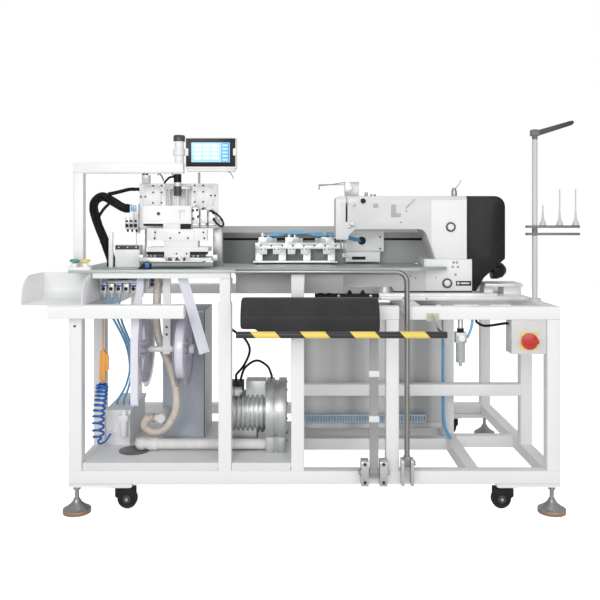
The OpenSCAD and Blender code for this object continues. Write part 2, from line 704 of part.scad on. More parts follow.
module valve_manifold() color("silver") at() {
    box(lx - 860, lx - 668, 190, 230, table_u - 73, table_u - 38);
    for (x = [-860, -688]) box(lx + x, lx + x + 20, 205, 225, table_u - 38, table_u);
    for (k = [0:5]) {
        box(lx - 852 + 30 * k, lx - 830 + 30 * k, 150, 190, table_u - 86, table_u - 48);
        rod_z(table_u - 102, table_u - 86, lx - 841 + 30 * k, 168, 6);
    }
}

module reel_hanger() color("white") at() {
    difference() {
        box(lx - 606, lx - 576, 164, 176, reel_z - 20, table_u);
        for (z = [60, 90]) rod_y(163, 177, lx - 591, reel_z + z, 4);
    }
    rod_x(lx - 712, lx - 500, reel_y, reel_z, 7);
    rod_x(lx - 660, lx - 606, reel_y, reel_z, 12);
    rod_x(lx - 576, lx - 551, reel_y, reel_z, 12);
    for (x = [-726, -500]) rod_x(lx + x, lx + x + 16, reel_y, reel_z, 18);
}

module reel(x0, wind) {
    difference() {
        union() {
            for (x = [0, 39]) rod_x(x0 + x, x0 + x + 2.5, reel_y, reel_z, reel_r);
            rod_x(x0 + 2.5, x0 + 39, reel_y, reel_z, wind);
        }
        rod_x(x0 - 1, x0 + 43, reel_y, reel_z, 7 + play);
        for (a = [0:60:300]) rod_x(x0 - 1, x0 + 43, reel_y + 30 * cos(a), reel_z + 30 * sin(a), 9);
    }
}

module reel_left() color("thistle") at() reel(lx - 660 - gap - 41.5 - 6, reel_r - 20);
module reel_right() color("thistle") at() reel(lx - 551 + gap + 6, reel_r - 32);

module tapes() color("white") at() {
    // one tape hangs in a loop before the left reel, the other hangs with a slanting end
    slab_x(lx - 702, lx - 674, [[125, table_u], [115, reel_z + 251], [45, reel_z + 151], [12, reel_z + 60],
        [8, reel_z - 160], [14, reel_z - 186], [24, reel_z - 194], [32, reel_z - 182], [37, reel_z - 20],
        [35, reel_z - 20], [30, reel_z - 181], [23.5, reel_z - 191], [15.5, reel_z - 184.5],
        [10, reel_z - 159],
        [14, reel_z + 59], [47, reel_z + 150], [117, reel_z + 250], [127, table_u]]);
    slab_y(112, 113.5, [[lx - 545, table_u], [lx - 505, table_u], [lx - 412, reel_z],
        [lx - 452, reel_z - 14]]);
}

module blow_gun() color("orange") at() {
    rod_x(l_x + tube, lx - 838, 150, deck_u + 20, 4);
    rod_z(592 + zu, deck_u + 20, lx - 843, 150, 3);
    slab_y(141, 159, rounded([[lx - 856, 480 + zu, 5], [lx - 834, 480 + zu, 5], [lx - 830, 585 + zu, 5],
        [lx - 838, 600 + zu, 4], [lx - 852, 600 + zu, 4]]));
    slab_y(146, 154, rounded([[lx - 832, 515 + zu, 0], [lx - 820, 520 + zu, 3], [lx - 820, 575 + zu, 3],
        [lx - 832, 590 + zu, 0]], 2));
    rod_z(468 + zu, 480 + zu, lx - 845, 150, 8);
}

// Stacker

module arm_pivots() color("silver") at() {
    for (x = [pad_x - 66, pad_x + 4]) difference() {
        slab_x(x, x + 28, rounded([[-48, rail_z + 8, 4], [0, rail_z + 8, 0], [0, rail_t, 0],
            [-4, rail_t + 56, 14],
            [-48, rail_t + 56, 14]], 4));
        rod_x(x - 1, x + 29, pivot_y, rail_t + 5, 8 + play);
    }
    for (x = [wiper_x - 23, wiper_x + 12.5]) difference() {
        slab_x(x, x + 10.5, rounded([[-46, rail_z + 8, 4], [0, rail_z + 8, 0], [0, rail_t, 0],
            [-4, wiper_z + 20, 14],
            [-46, wiper_z + 20, 14]], 4));
        rod_x(x - 1, x + 12, pivot_y, wiper_z, 6 + play);
    }
}

module stacker_arm() color("gray") at() {
    box(pad_x - 33, pad_x, -31, -19, rail_t - 15, pad_z + 60);
    rod_x(pad_x - 65, pad_x + 31, pivot_y, rail_t + 5, 8);
    box(pad_x - pad_l + 16, pad_x, -31, -25, pad_z + 14, pad_z + 100);
    for (z = [195, 365]) box(pad_x - 36, pad_x + 3, -34, -16, rail_t + z, rail_t + z + 22);
}

module stacker_pad() color("dimgray") at() {
    slab_x(pad_x - pad_l, pad_x, rounded([[-31, pad_z, 0], [-31, pad_z + pad_h, 10], [-62, pad_z + pad_h, 12],
        [-112, pad_z + pad_h - 52, 20], [-112, pad_z, 12]], 5));
}

module wiper_arm() color("silver") at() {
    r = wiper_d / 2;
    z = wiper_top;
    rod_x(wiper_x - 647, wiper_x - 40, pivot_y, z, r);
    translate(snaps([wiper_x - 40, pivot_y, z - 40])) rotate([90, 0, 0]) rotate_extrude(angle = 90)
        translate([40, 0]) circle(r = r);
    rod_z(wiper_z + 26, z - 40, wiper_x, pivot_y, r);
    box(wiper_x - 12, wiper_x + 12, pivot_y - 12, pivot_y + 12, wiper_z - 13, wiper_z + 26);
    rod_x(wiper_x - 22.5, wiper_x + 29, pivot_y, wiper_z, 6);
    rod_x(wiper_x + 23.5, wiper_x + 31, pivot_y, wiper_z, 10);
}

module striped_bar() color("gold") at() {
    z = deck_u - 27;
    rod_x(lx - 281, lx + 464, -bar_out, z, bar_d / 2);
    slab_x(lx + 446, lx + 452, [[-bar_out - 9, z - 5], [-bar_out + 10, z - 8], [-60, z + 20], [0, z + 24],
        [0, z + 50], [-66, z + 46], [-bar_out - 4, z + 9]]);
    box(lx + 426, lx + 472, -5, 0, z + 22, z + 52);
}

// Casters

function caster_x(left) = left ? l_x + 195 : r_x - 195;
function caster_y(front) = front ? 45 : frame_d - 45;
function caster_s(left) = left ? 1 : -1;

module caster(left, front) at() translate([caster_x(left), caster_y(front), 0]) {
    top = rail_z - plate_t - 5 - gap;
    s = caster_s(left);
    wz = 10 + wheel_d / 2;
    rod_z(top - 8, top, 0, 0, 24);
    difference() {
        box(min(-24, s * 20 - 30), max(24, s * 20 + 30), -wheel_w / 2 - 7, wheel_w / 2 + 7, 30, top - 8);
        box(-70, 70, -wheel_w / 2 - 2, wheel_w / 2 + 2, 29, top - 12);
        for (e = [-1, 1]) rod_y(-40, 40, s * 20 + e * 62, 26, 38);
    }
    rod_y(-wheel_w / 2 - 9, wheel_w / 2 + 9, s * 20, wz, 5);
}

module wheel(left, front) at()
    translate([caster_x(left) + 20 * caster_s(left), caster_y(front), 10 + wheel_d / 2])
    difference() {
        union() {
            rod_y(-wheel_w / 2, wheel_w / 2, 0, 0, wheel_d / 2 - 3);
            rod_y(-wheel_w / 2 + 3, wheel_w / 2 - 3, 0, 0, wheel_d / 2);
        }
        rod_y(-wheel_w, wheel_w, 0, 0, 5 + play);
        for (y = [-wheel_w / 2 - 1, wheel_w / 2 - 3]) difference() {
            rod_y(y, y + 4, 0, 0, wheel_d / 2 - 11);
            rod_y(y - 1, y + 5, 0, 0, 11);
        }
    }

module caster_front_left() color("silver") caster(true, true);
module caster_front_right() color("silver") caster(false, true);
module caster_rear_left() color("silver") caster(true, false);
module caster_rear_right() color("silver") caster(false, false);
module wheel_front_left() color("black") wheel(true, true);
module wheel_front_right() color("black") wheel(false, true);
module wheel_rear_left() color("black") wheel(true, false);
module wheel_rear_right() color("black") wheel(false, false);

// Hoses and cables, as plain tubes along their routes

module flexible_lines() color("black") at() {
    // harness to the fold head's valves, with its two branches
    hose(curve([[lx - 850, 310, table_h + 0.5], [lx - 850, 310, table_h + 12], [lx - 850, 310, table_h + 24],
        [lx - 856, 310, table_h + 46], [lx - 880, 308, table_h + 112], [lx - 914, 306, table_h + 205],
        [lx - 922, 305, table_h + 262], [lx - 888, 308, table_h + 294], [lx - 842, 314, table_h + 272],
        [lx - 800, 319, table_h + 247], [lx - 785, 319, table_h + 245],
        [fold_x - 200.5, 319, table_h + 245]], 2), 19);
    hose(curve([[lx - 862, 305, table_h + 304], [lx - 830, 312, table_h + 311],
        [lx - 785, 330, table_h + 324],
        [lx - 760, 332, table_h + 326], [lx - 748, 332, table_h + 326],
        [fold_x - 166.5, 332, table_h + 326]], 2), 8);
    hose(curve([[lx - 900, 292, table_h + 205], [lx - 876, 284, table_h + 240],
        [lx - 850, 292, table_h + 268]], 2), 6);
    // suction hose, looped under the reels
    hose(curve([[lx - 634, 215, table_u - 1], [lx - 640, 215, 780 + zu], [lx - 643, 215, 712 + zu],
        [lx - 632, 217, 635 + zu], [lx - 606, 220, 566 + zu], [lx - 580, 222, 496 + zb],
        [lx - 562, 222, 420 + zb],
        [lx - 566, 220, 334 + zb], [lx - 604, 217, 270 + zb], [lx - 650, 215, 252 + zb],
        [lx - 688, 215, 275 + zb],
        [lx - 682, 215, 305 + zb], [lx - 664, 215, outlet_z], [lx - 656, 215, outlet_z],
        [lx - 648.5, 215, outlet_z]], 2), 17);
    // curly hose of the blow gun and its tail
    hose(curve([[lx - 845, 150, 467 + zu], [lx - 850, 150, 420 + zu], [lx - 860, 150, 340 + zb],
        [lx - 862, 150, 240 + zb]], 3), 24, 10);
    hose(curve([[lx - 862, 150, 239 + zb], [lx - 860, 160, 222 + zb], [lx - 842, 182, 225 + zb],
        [lx - 829, 198, shelf_z + 50], [lx - 828, 206, shelf_z + 51],
        [lx - 828, 214.5, shelf_z + 51]], 2), 4);
    // air hoses from the manifold to the air box
    for (k = [0:2]) hose(curve([[lx - 841 + 30 * k, 168, table_u - 102.5], [lx - 838 + 28 * k, 172, 770 + zu],
        [lx - 812 + 14 * k, 225, 700 + zu], [lx - 776 + 10 * k, 262, 600 + zu],
        [lx - 768 + 10 * k, 290, 500 + zu],
        [lx - 790 + 14 * k, 310, 420 + zb], [lx - 826 + 26 * k, 330, 360 + zb],
        [lx - 830 + 26 * k, 334, shelf_z + 143.5]], 2), 4.5, 6);
    // blower cables
    hose(curve([[lx - 352, 232, table_u - 1], [lx - 356, 232, 760 + zu], [lx - 342, 234, 680 + zu],
        [lx - 286, 237, 636 + zu], [lx - 262, 239, 585 + zb], [lx - 284, 240, 525 + zb],
        [lx - 316, 240, blower_z + 150], [lx - 318, 240, blower_z + 137],
        [lx - 318, 240, blower_z + 125.5]], 2), 5);
    hose(curve([[lx - 298, 245, blower_z + 125.5], [lx - 297, 245, blower_z + 138],
        [lx - 280, 244, blower_z + 178],
        [lx - 234, 242, blower_z + 206], [lx - 190, 240, blower_z + 184], [lx - 173, 240, blower_z + 148],
        [lx - 172, 240, blower_z + 135.5]], 2), 5);
    // hose and cable under the right rail, and the hose beside the cabinet
    hose(curve([[filter_x + 20.5, 25, deck_u - 70], [filter_x + 28, 25, deck_u - 68],
        [filter_x + 40, 27, deck_u - 40], [filter_x + 46, 28, deck_u - 14],
        [filter_x + 46, 28, deck_u - 0.5]], 2), 5, 6);
    hose(curve([[filter_x + 62, 30, deck_u - 0.5], [filter_x + 66, 32, deck_u - 14],
        [filter_x + 100, 40, deck_u - 28], [rx + 736, 50, deck_u - 20], [rx + 744, 50, deck_u - 20],
        [rx + 751.5, 50, deck_u - 20]], 2), 5, 6);
    hose(curve([[lx + 566.5, 420, 600 + zb], [lx + 566.5, 420, 500 + zb], [lx + 567, 418, 400 + zb],
        [lx + 568, 416, 300 + zb], [lx + 576, 412, 215 + zb], [lx + 600, 405, rail_t + 8]], 2), 8);
}

frame_posts();
frame_long_rails();
frame_cross_rails();
levelling_feet();
floor_shelf();
left_tray();
table_top();
apron_panels();
gantry();
control_boxes();
fold_columns();
fold_back_plate();
fold_actuators();
rear_axis_beam();
sewing_bed();
sewing_arm();
motor_cover();
head_fittings();
bed_base();
thread_stand();
switch_box();
filter_regulator();
electrical_cabinet();
wire_duct();
blower_housing();
blower_motor();
vacuum_pipe();
air_box();
air_cabinet();
valve_manifold();
reel_hanger();
tapes();
flexible_lines();
blow_gun();
arm_pivots();
striped_bar();
screen();
green_button();
yellow_button();
switch_knob();
fold_slide();
fold_plate_left();
fold_plate_right();
transfer_carriage();
transfer_clamp();
needle_bar();
handwheel();
stacker_arm();
stacker_pad();
wiper_arm();
reel_left();
reel_right();
caster_front_left();
caster_front_right();
caster_rear_left();
caster_rear_right();
wheel_front_left();
wheel_front_right();
wheel_rear_left();
wheel_rear_right();
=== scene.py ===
import math
import bmesh
import bpy
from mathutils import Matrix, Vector


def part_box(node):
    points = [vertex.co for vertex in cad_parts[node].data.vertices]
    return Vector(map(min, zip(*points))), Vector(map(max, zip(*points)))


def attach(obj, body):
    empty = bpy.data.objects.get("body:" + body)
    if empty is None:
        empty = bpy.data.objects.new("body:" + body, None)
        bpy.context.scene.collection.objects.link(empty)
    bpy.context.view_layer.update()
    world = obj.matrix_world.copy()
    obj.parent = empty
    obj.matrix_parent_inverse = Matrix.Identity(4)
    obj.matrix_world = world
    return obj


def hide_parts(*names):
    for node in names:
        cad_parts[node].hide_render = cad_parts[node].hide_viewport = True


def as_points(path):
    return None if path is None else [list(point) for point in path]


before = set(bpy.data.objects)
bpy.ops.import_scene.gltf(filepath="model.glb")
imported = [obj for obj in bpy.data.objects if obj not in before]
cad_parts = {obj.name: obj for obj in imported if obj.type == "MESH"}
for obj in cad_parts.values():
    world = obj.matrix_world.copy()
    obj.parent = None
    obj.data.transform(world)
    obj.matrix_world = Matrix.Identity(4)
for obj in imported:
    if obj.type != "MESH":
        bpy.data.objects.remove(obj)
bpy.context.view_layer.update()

# Places are given in millimetres from the middle of the frame's front, as the machine is drawn
FRAME_HALF = 0.935  # metres
posts_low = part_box("frame_posts")[0]
SHIFT = Vector((posts_low[0] + FRAME_HALF, posts_low[1], 0))
TABLE = 925  # top of the table plate
DECK = 790  # top of the frame
SHELF = 195  # top of the floor shelf


def place(x, y, z):
    """A drawn point in millimetres as a point of the frame in metres."""
    return SHIFT + Vector((x, y, z)) / 1000


# Ways in which turned parts and screws point
FRONT = (0, -1, 0)
BACK = (0, 1, 0)
RIGHT = (1, 0, 0)
UP = (0, 0, 1)
DOWN = (0, 0, -1)

CORNERS = ("front_left", "front_right", "rear_left", "rear_right")


# Camera: level, at the height of the heads, with the picture shifted down over the whole machine

camera_data = bpy.data.cameras.new("camera")
camera_data.lens = 45
camera_data.sensor_width = 36
camera_data.shift_y = -0.13
camera = bpy.data.objects.new("camera", camera_data)
camera.location = place(-55, -2850, 1112)
camera.rotation_euler = (math.radians(90), 0, 0)
bpy.context.scene.collection.objects.link(camera)
bpy.context.scene.camera = camera


# Shader maths

class Value:
    """A shader value: arithmetic on it adds Math nodes to its tree."""

    def __init__(self, nodes, socket):
        self.nodes = nodes
        self.socket = socket

    def math(self, operation, *inputs):
        return self.nodes.node("Math", {"operation": operation}, dict(enumerate(inputs)))

    def __add__(self, other):
        return self.math("ADD", self, other)

    def __sub__(self, other):
        return self.math("SUBTRACT", self, other)

    def __rsub__(self, other):
        return self.math("SUBTRACT", other, self)

    def __mul__(self, other):
        return self.math("MULTIPLY", self, other)

    def __mod__(self, other):
        return self.math("FLOORED_MODULO", self, other)

    def __gt__(self, other):
        return self.math("GREATER_THAN", self, other)

    __radd__ = __add__
    __rmul__ = __mul__

    def sine(self):
        return self.math("SINE", self)

    def sharp(self, low, high):
        """0 below low and 1 above high."""
        span = {"From Min": low, "From Max": high}
        return self.nodes.node("MapRange", {"clamp": True}, {"Value": self, **span})


class Nodes:
    """A node tree, and the one way in which nodes are added to it."""

    def __init__(self, tree):
        self.tree = tree

    def feed(self, socket, value):
        if isinstance(value, Value):
            self.tree.links.new(value.socket, socket)
        elif socket.type == "RGBA":
            socket.default_value = (*value[:3], 1)
        else:
            socket.default_value = value

    def node(self, kind, settings=None, inputs=None, output=0):
        made = self.tree.nodes.new("ShaderNode" + kind)
        for key, value in (settings or {}).items():
            setattr(made, key, value)
        for key, value in (inputs or {}).items():
            self.feed(made.inputs[key], value)
        return Value(self, made.outputs[output])


class Finish(Nodes):
    """A procedural material: a Principled shader with the nodes that feed it."""

    def __init__(self, name, color, rough, **fixed):
        self.material = bpy.data.materials.new(name)
        self.material.use_nodes = True
        super().__init__(self.material.node_tree)
        self.shader = self.tree.nodes["Principled BSDF"]
        self.color = color
        self.set("Base Color", color)
        self.set("Roughness", rough)
        for key, value in fixed.items():
            self.set(key.replace("_", " ").title(), value)

    def set(self, socket, value):
        self.feed(self.shader.inputs[socket], value)
        return self

    def here(self):
        return self.node("TexCoord", output="Object")

    def axis(self, name):
        return self.node("SeparateXYZ", inputs={0: self.here()}, output=name)

    def noise(self, scale, stretch=(1, 1, 1), detail=3, roughness=0.55):
        at = self.node("VectorMath", {"operation": "MULTIPLY"}, {0: self.here(), 1: stretch})
        inputs = {"Vector": at, "Scale": scale, "Detail": detail, "Roughness": roughness}
        return self.node("TexNoise", None, inputs)

    def cells(self, scale):
        return self.node("TexVoronoi", None, {"Vector": self.here(), "Scale": scale})

    def mix(self, factor, first, second):
        return self.node("Mix", {"data_type": "RGBA"}, {0: factor, 6: first, 7: second}, 2)

    def tint(self, factor, darker):
        """The finish's colour, falling to a darker share of it with factor."""
        return self.mix(factor, self.color, tuple(darker * part for part in self.color))

    def paint(self, zone, color):
        """Another colour where zone is 1."""
        feed = self.shader.inputs["Base Color"].links[0].from_socket
        return self.set("Base Color", self.mix(zone, Value(self, feed), color))

    def beyond(self, axis, level):
        """1 where the drawn place in millimetres is past level."""
        offset = {"X": SHIFT.x, "Y": SHIFT.y, "Z": 0}[axis]
        return self.axis(axis) > level / 1000 + offset

    def before(self, axis, level):
        """1 where the drawn place is short of level."""
        return 1 - self.beyond(axis, level)

    def within(self, axis, low, high):
        """1 between two levels."""
        return self.beyond(axis, low) - self.beyond(axis, high)

    def bump(self, height, strength, distance=0.001):
        inputs = {"Height": height, "Strength": strength, "Distance": distance}
        return self.set("Normal", self.node("Bump", None, inputs))


def enamel(name, color, rough=0.38, peel=0.12, shade=0.94):
    """Sprayed enamel: faint orange peel, and a slow drift in tone and gloss."""
    made = Finish(name, color, rough, coat_weight=0.15, coat_roughness=0.2)
    drift = made.noise(2.2, detail=4)
    made.set("Base Color", made.tint(drift.sharp(0.35, 0.75), shade))
    made.set("Roughness", made.noise(9) * 0.14 + (rough - 0.07))
    return made.bump(made.noise(620, detail=2), peel, 0.0006)


def brushed(name, color, along, rough=0.3, metallic=1.0, depth=0.2):
    """Brushed metal with its grain along one axis."""
    made = Finish(name, color, rough, metallic=metallic)
    stretch = [260, 260, 260]
    stretch[along] = 3
    grain = made.noise(6, stretch, detail=5, roughness=0.7)
    wear = grain.sharp(0.3, 0.75) * 0.6 + made.noise(3).sharp(0.4, 0.7) * 0.4
    made.set("Base Color", made.tint(wear, 0.82))
    made.set("Roughness", grain * 0.22 + (rough - 0.1))
    return made.bump(grain, depth, 0.0004)


def machined(name, color, rough=0.34, metallic=0.85):
    """Milled or cast aluminium with a fine satin tooth."""
    made = Finish(name, color, rough, metallic=metallic)
    tooth = made.noise(700, detail=3)
    made.set("Base Color", made.tint(made.noise(14).sharp(0.4, 0.7), 0.86))
    made.set("Roughness", made.noise(40) * 0.2 + (rough - 0.1))
    return made.bump(tooth, 0.16, 0.0005)


def moulded(name, color, rough=0.4, grain=0.14, coat=0.0):
    """Moulded plastic or rubber with a fine spark texture."""
    made = Finish(name, color, rough, coat_weight=coat, coat_roughness=0.12)
    made.set("Base Color", made.tint(made.noise(18).sharp(0.35, 0.75), 0.86))
    made.set("Roughness", made.noise(30) * 0.16 + (rough - 0.08))
    return made.bump(made.cells(1500), grain, 0.0004)


def see_through(name, color, alpha, rough=0.2):
    """Clear plastic: tinted, with faint flow lines."""
    made = Finish(name, color, rough, alpha=alpha, coat_weight=0.3, coat_roughness=0.1)
    made.set("Base Color", made.tint(made.noise(25).sharp(0.4, 0.7), 0.9))
    return made.bump(made.noise(60), 0.1, 0.0008)


def woven(name, color, pitch):
    """Narrow woven tape: a fine over-and-under weave with a faint sheen."""
    made = Finish(name, color, 0.7, sheen_weight=0.4)
    wave = math.tau / pitch
    weft = (made.axis("Z") * wave).sine()
    warp = (made.axis("X") * wave).sine()
    made.set("Base Color", made.tint((weft * warp).sharp(-0.2, 1) * 0.6 + made.noise(8) * 0.4, 0.86))
    return made.bump(weft * warp, 0.3, 0.0005)


def padded_vinyl(name, color):
    """Dark upholstery vinyl: pebble grain and rubbed, paler high spots."""
    made = Finish(name, color, 0.52, sheen_weight=0.15)
    pebble = made.node("TexVoronoi", {"feature": "SMOOTH_F1"}, {"Vector": made.here(), "Scale": 420})
    made.set("Base Color", made.mix(made.noise(6, detail=5).sharp(0.4, 0.72), color, (0.042, 0.041, 0.044)))
    made.set("Roughness", made.noise(24) * 0.2 + 0.42)
    return made.bump(pebble, 0.22, 0.0006)


def hazard(name, pitch, slant, start):
    """Black and yellow bands wound at a slant round the bar."""
    yellow = (0.86, 0.66, 0.13)
    made = Finish(name, yellow, 0.42, coat_weight=0.2, coat_roughness=0.2)
    band = ((made.axis("X") + made.axis("Z") * slant - start) % pitch) > pitch / 2
    scuff = made.noise(160, detail=5).sharp(0.62, 0.75) * 0.35
    paint = made.mix(band, yellow, (0.018, 0.018, 0.02))
    made.set("Base Color", made.mix(scuff, paint, (0.42, 0.4, 0.36)))
    made.set("Roughness", made.noise(40) * 0.2 + 0.32)
    return made.bump(made.noise(300), 0.1, 0.0005)


def glowing(name, color, strength):
    """A lit part of the display, with fine scan lines."""
    made = Finish(name, color, 0.25)
    lines = ((made.axis("Z") * 900) % 1.0) > 0.5
    made.set("Emission Color", made.mix(lines * 0.12, color, (0.1, 0.25, 0.5)))
    made.set("Emission Strength", strength)
    return made


BRIGHT_WHITE = (0.9, 0.902, 0.905)
WARM_WHITE = (0.86, 0.862, 0.865)
TAPE_WHITE = (0.84, 0.845, 0.93)

white = enamel("white_enamel", (0.88, 0.883, 0.885), shade=0.97)
grey_white = enamel("grey_white_enamel", (0.8, 0.805, 0.81))
panel_white = enamel("panel_white", BRIGHT_WHITE, 0.34, 0.06, 0.97)
head_grey = enamel("head_enamel", (0.76, 0.765, 0.76), 0.3, 0.18, 0.97)
sheet_grey = enamel("sheet_grey", (0.46, 0.47, 0.475), 0.42)
arm_grey = enamel("arm_grey", (0.33, 0.33, 0.335), 0.4)
beam_grey = enamel("beam_grey", (0.17, 0.173, 0.176), 0.4)
stand_grey = enamel("stand_grey", (0.64, 0.645, 0.65), 0.35)
gantry_white = enamel("gantry_white", BRIGHT_WHITE, shade=0.98)
table_steel = brushed("table_steel", (0.5, 0.545, 0.535), 0, 0.42, 0.4)
tube_steel = brushed("tube_steel", (0.34, 0.335, 0.32), 2, 0.3)
cabinet_steel = brushed("cabinet_steel", (0.36, 0.362, 0.365), 2, 0.42, 0.4)
air_steel = brushed("air_cabinet_steel", (0.54, 0.58, 0.66), 2, 0.42, 0.3)
plate_alu = machined("plate_aluminium", (0.76, 0.765, 0.77), 0.36, 0.6)
white_alu = machined("white_aluminium", WARM_WHITE, 0.4, 0.3)
cast_alu = machined("cast_aluminium", (0.58, 0.59, 0.595), 0.4, 0.75)
foot_steel = machined("foot_steel", (0.42, 0.41, 0.4), 0.36, 0.8)
dark_steel = machined("dark_steel", (0.07, 0.07, 0.075), 0.42, 0.6)
chrome = machined("bright_chrome", (0.46, 0.46, 0.465), 0.32, 0.9)
gloss_black = moulded("gloss_black", (0.012, 0.012, 0.014), 0.34, 0.04, 0.12)
matt_black = moulded("matt_black", (0.016, 0.016, 0.018), 0.5)
sleeve_black = moulded("sleeve_black", (0.008, 0.008, 0.01), 0.5, 0.3)
rubber_black = moulded("rubber_black", (0.016, 0.016, 0.017), 0.6, 0.25)
white_plastic = moulded("white_plastic", (0.84, 0.84, 0.825), 0.35, 0.06)
pipe_white = moulded("pipe_white", (0.84, 0.835, 0.815), 0.35, 0.06)
green_cap = moulded("green_cap", (0.08, 0.32, 0.22), 0.32, 0.05, 0.3)
yellow_cap = moulded("yellow_cap", (0.82, 0.68, 0.2), 0.32, 0.05, 0.3)
red_knob = moulded("red_knob", (0.62, 0.022, 0.012), 0.28, 0.05, 0.4)
switch_grey = moulded("switch_grey", (0.72, 0.72, 0.71), 0.4, 0.1)
orange_grip = moulded("orange_grip", (0.92, 0.42, 0.08), 0.35, 0.08, 0.2)
blue_hose = moulded("blue_hose", (0.012, 0.15, 0.55), 0.28, 0.04, 0.4)
pale_blue_hose = moulded("pale_blue_hose", (0.13, 0.42, 0.7), 0.28, 0.04, 0.4)
duct_blue = moulded("duct_blue", (0.4, 0.5, 0.62), 0.4)
clear_hose = see_through("clear_hose", (0.82, 0.72, 0.63), 0.8)
clear_block = see_through("clear_block", (0.62, 0.68, 0.7), 0.6)
tape_white = woven("tape_white", TAPE_WHITE, 0.0022)
vinyl = padded_vinyl("pad_vinyl", (0.027, 0.026, 0.028))
stripes = hazard("hazard_stripes", 0.176, 0.9, 0.074)
lit_sky = glowing("lit_sky", (0.32, 0.58, 0.86), 0.45)
lit_pale = glowing("lit_pale", (0.6, 0.8, 0.95), 0.42)
lit_deep = glowing("lit_deep", (0.06, 0.24, 0.7), 0.45)

# Black parts that shine little
for finish in (gloss_black, matt_black, sleeve_black, vinyl):
    finish.set("Specular IOR Level", 0.22)

# Zones of another colour on one piece
stand_grey.paint(stand_grey.within("Z", TABLE + 131, TABLE + 174), (0.17, 0.17, 0.175))
stand_grey.paint(stand_grey.beyond("Z", TABLE + 524), (0.15, 0.15, 0.155))
stripes.paint(stripes.beyond("Z", DECK - 63), (0.58, 0.56, 0.47))
foot_steel.paint(foot_steel.within("Z", 2, 13), (0.5, 0.27, 0.16))
gantry_white.paint(gantry_white.beyond("Z", TABLE + 505), (0.06, 0.06, 0.065))
beam_grey.paint(beam_grey.axis("X").sharp(SHIFT.x - 0.35, SHIFT.x + 0.5), (0.4, 0.405, 0.41))
beam_grey.paint(beam_grey.beyond("Z", TABLE + 139), (0.4, 0.41, 0.415))
beam_grey.paint(beam_grey.within("Z", TABLE + 103.5, TABLE + 114), (0.01, 0.01, 0.01))
pipe_white.paint(pipe_white.before("Z", SHELF + 4.6), (0.12, 0.12, 0.12))
air_steel.paint(air_steel.beyond("X", -460.4), (0.78, 0.775, 0.76))
air_steel.paint(air_steel.within("X", -465, -460.4), (0.06, 0.07, 0.1))
cabinet_steel.paint(cabinet_steel.noise(5, (1, 1, 0.02), detail=2).sharp(0.44, 0.68), (0.7, 0.7, 0.7))
switch_grey.paint(switch_grey.before("Y", 9.5), (0.84, 0.66, 0.2))
for low in (360, 530):
    arm_grey.paint(arm_grey.within("Z", low - 0.5, low + 22.5), (0.8, 0.8, 0.8))


def wound_reel(name, start):
    """Clear flanges with white tape wound between them."""
    made = see_through(name, (0.46, 0.42, 0.54), 0.5)
    winding = made.within("X", start + 2.6, start + 38.9)
    made.paint(winding, TAPE_WHITE)
    return made.set("Alpha", winding * 0.52 + 0.48)


def fold_parts():
    """Bright valve bodies with a black lift cylinder between them."""
    made = machined("fold_parts", (0.7, 0.71, 0.72), 0.36, 0.5)
    cylinder = made.within("X", -586, -552) * made.within("Y", 280, 318) * made.beyond("Z", TABLE + 296)
    made.paint(cylinder, (0.09, 0.09, 0.095))
    made.paint(cylinder * made.beyond("Z", TABLE + 337), (0.86, 0.86, 0.86))
    made.paint(cylinder * made.beyond("Z", TABLE + 353), (0.012, 0.012, 0.014))
    return made


def motor_metal():
    """Cast motor with a black terminal block."""
    made = machined("motor_metal", (0.56, 0.57, 0.575), 0.4, 0.75)
    block = made.within("X", -337, -285) * made.within("Y", 213, 267) * made.beyond("Z", 422)
    return made.paint(block, (0.02, 0.022, 0.03))


def column_metal():
    """Cast columns, the left one in white enamel."""
    made = machined("column_metal", (0.5, 0.51, 0.515), 0.4, 0.6)
    return made.paint(made.before("X", -600), WARM_WHITE)


def slide_with_painted_shadow():
    """White slide, with the template's shadow painted on as a dark band under it."""
    made = enamel("slide_white", BRIGHT_WHITE, 0.34, 0.06, 0.97)
    # Painted shadow: a near-black band at the template's lower edge, where the template shades the slide
    return made.paint(made.within("Z", TABLE + 22, TABLE + 26.6), (0.02, 0.02, 0.022))


reel_left_finish = wound_reel("reel_left", -707.9)
reel_right_finish = wound_reel("reel_right", -544.6)
fold_metal = fold_parts()
column_alu = column_metal()
slide_white = slide_with_painted_shadow()
blower_metal = motor_metal()


# Shapes

def spread(points, steps):
    """A smooth line through given points, with steps pieces between two of them."""
    line = []
    last = len(points) - 1
    for i in range(last):
        a, b = points[max(i - 1, 0)], points[i]
        c, d = points[i + 1], points[min(i + 2, last)]
        for k in range(steps):
            t = k / steps
            bend = (2 * a - 5 * b + 4 * c - d) * t * t + (3 * b - a - 3 * c + d) * t * t * t
            line.append(0.5 * (2 * b + (c - a) * t + bend))
    return line + [points[last]]


def length_of(line):
    return sum((b - a).length for a, b in zip(line, line[1:]))


def frames_along(line):
    """Side and up directions that turn as little as possible along a line."""
    made = []
    side = None
    for i, point in enumerate(line):
        ahead = (line[min(i + 1, len(line) - 1)] - line[max(i - 1, 0)]).normalized()
        if side is None:
            side = ahead.cross(Vector((0, 0, 1)) if abs(ahead.z) < 0.9 else Vector((1, 0, 0)))
        side = (side - ahead * side.dot(ahead)).normalized()
        made.append((side, ahead.cross(side)))
    return made


def ring_round(middle, side, up, radius, around):
    angles = (math.tau * j / around for j in range(around))
    return [middle + (side * math.cos(a) + up * math.sin(a)) * radius for a in angles]


def point_on(line, share):
    """The point at a share of a line, and the number of the stretch that it lies on."""
    t = share * (len(line) - 1)
    i = min(int(t), len(line) - 2)
    return line[i].lerp(line[i + 1], t - i), i


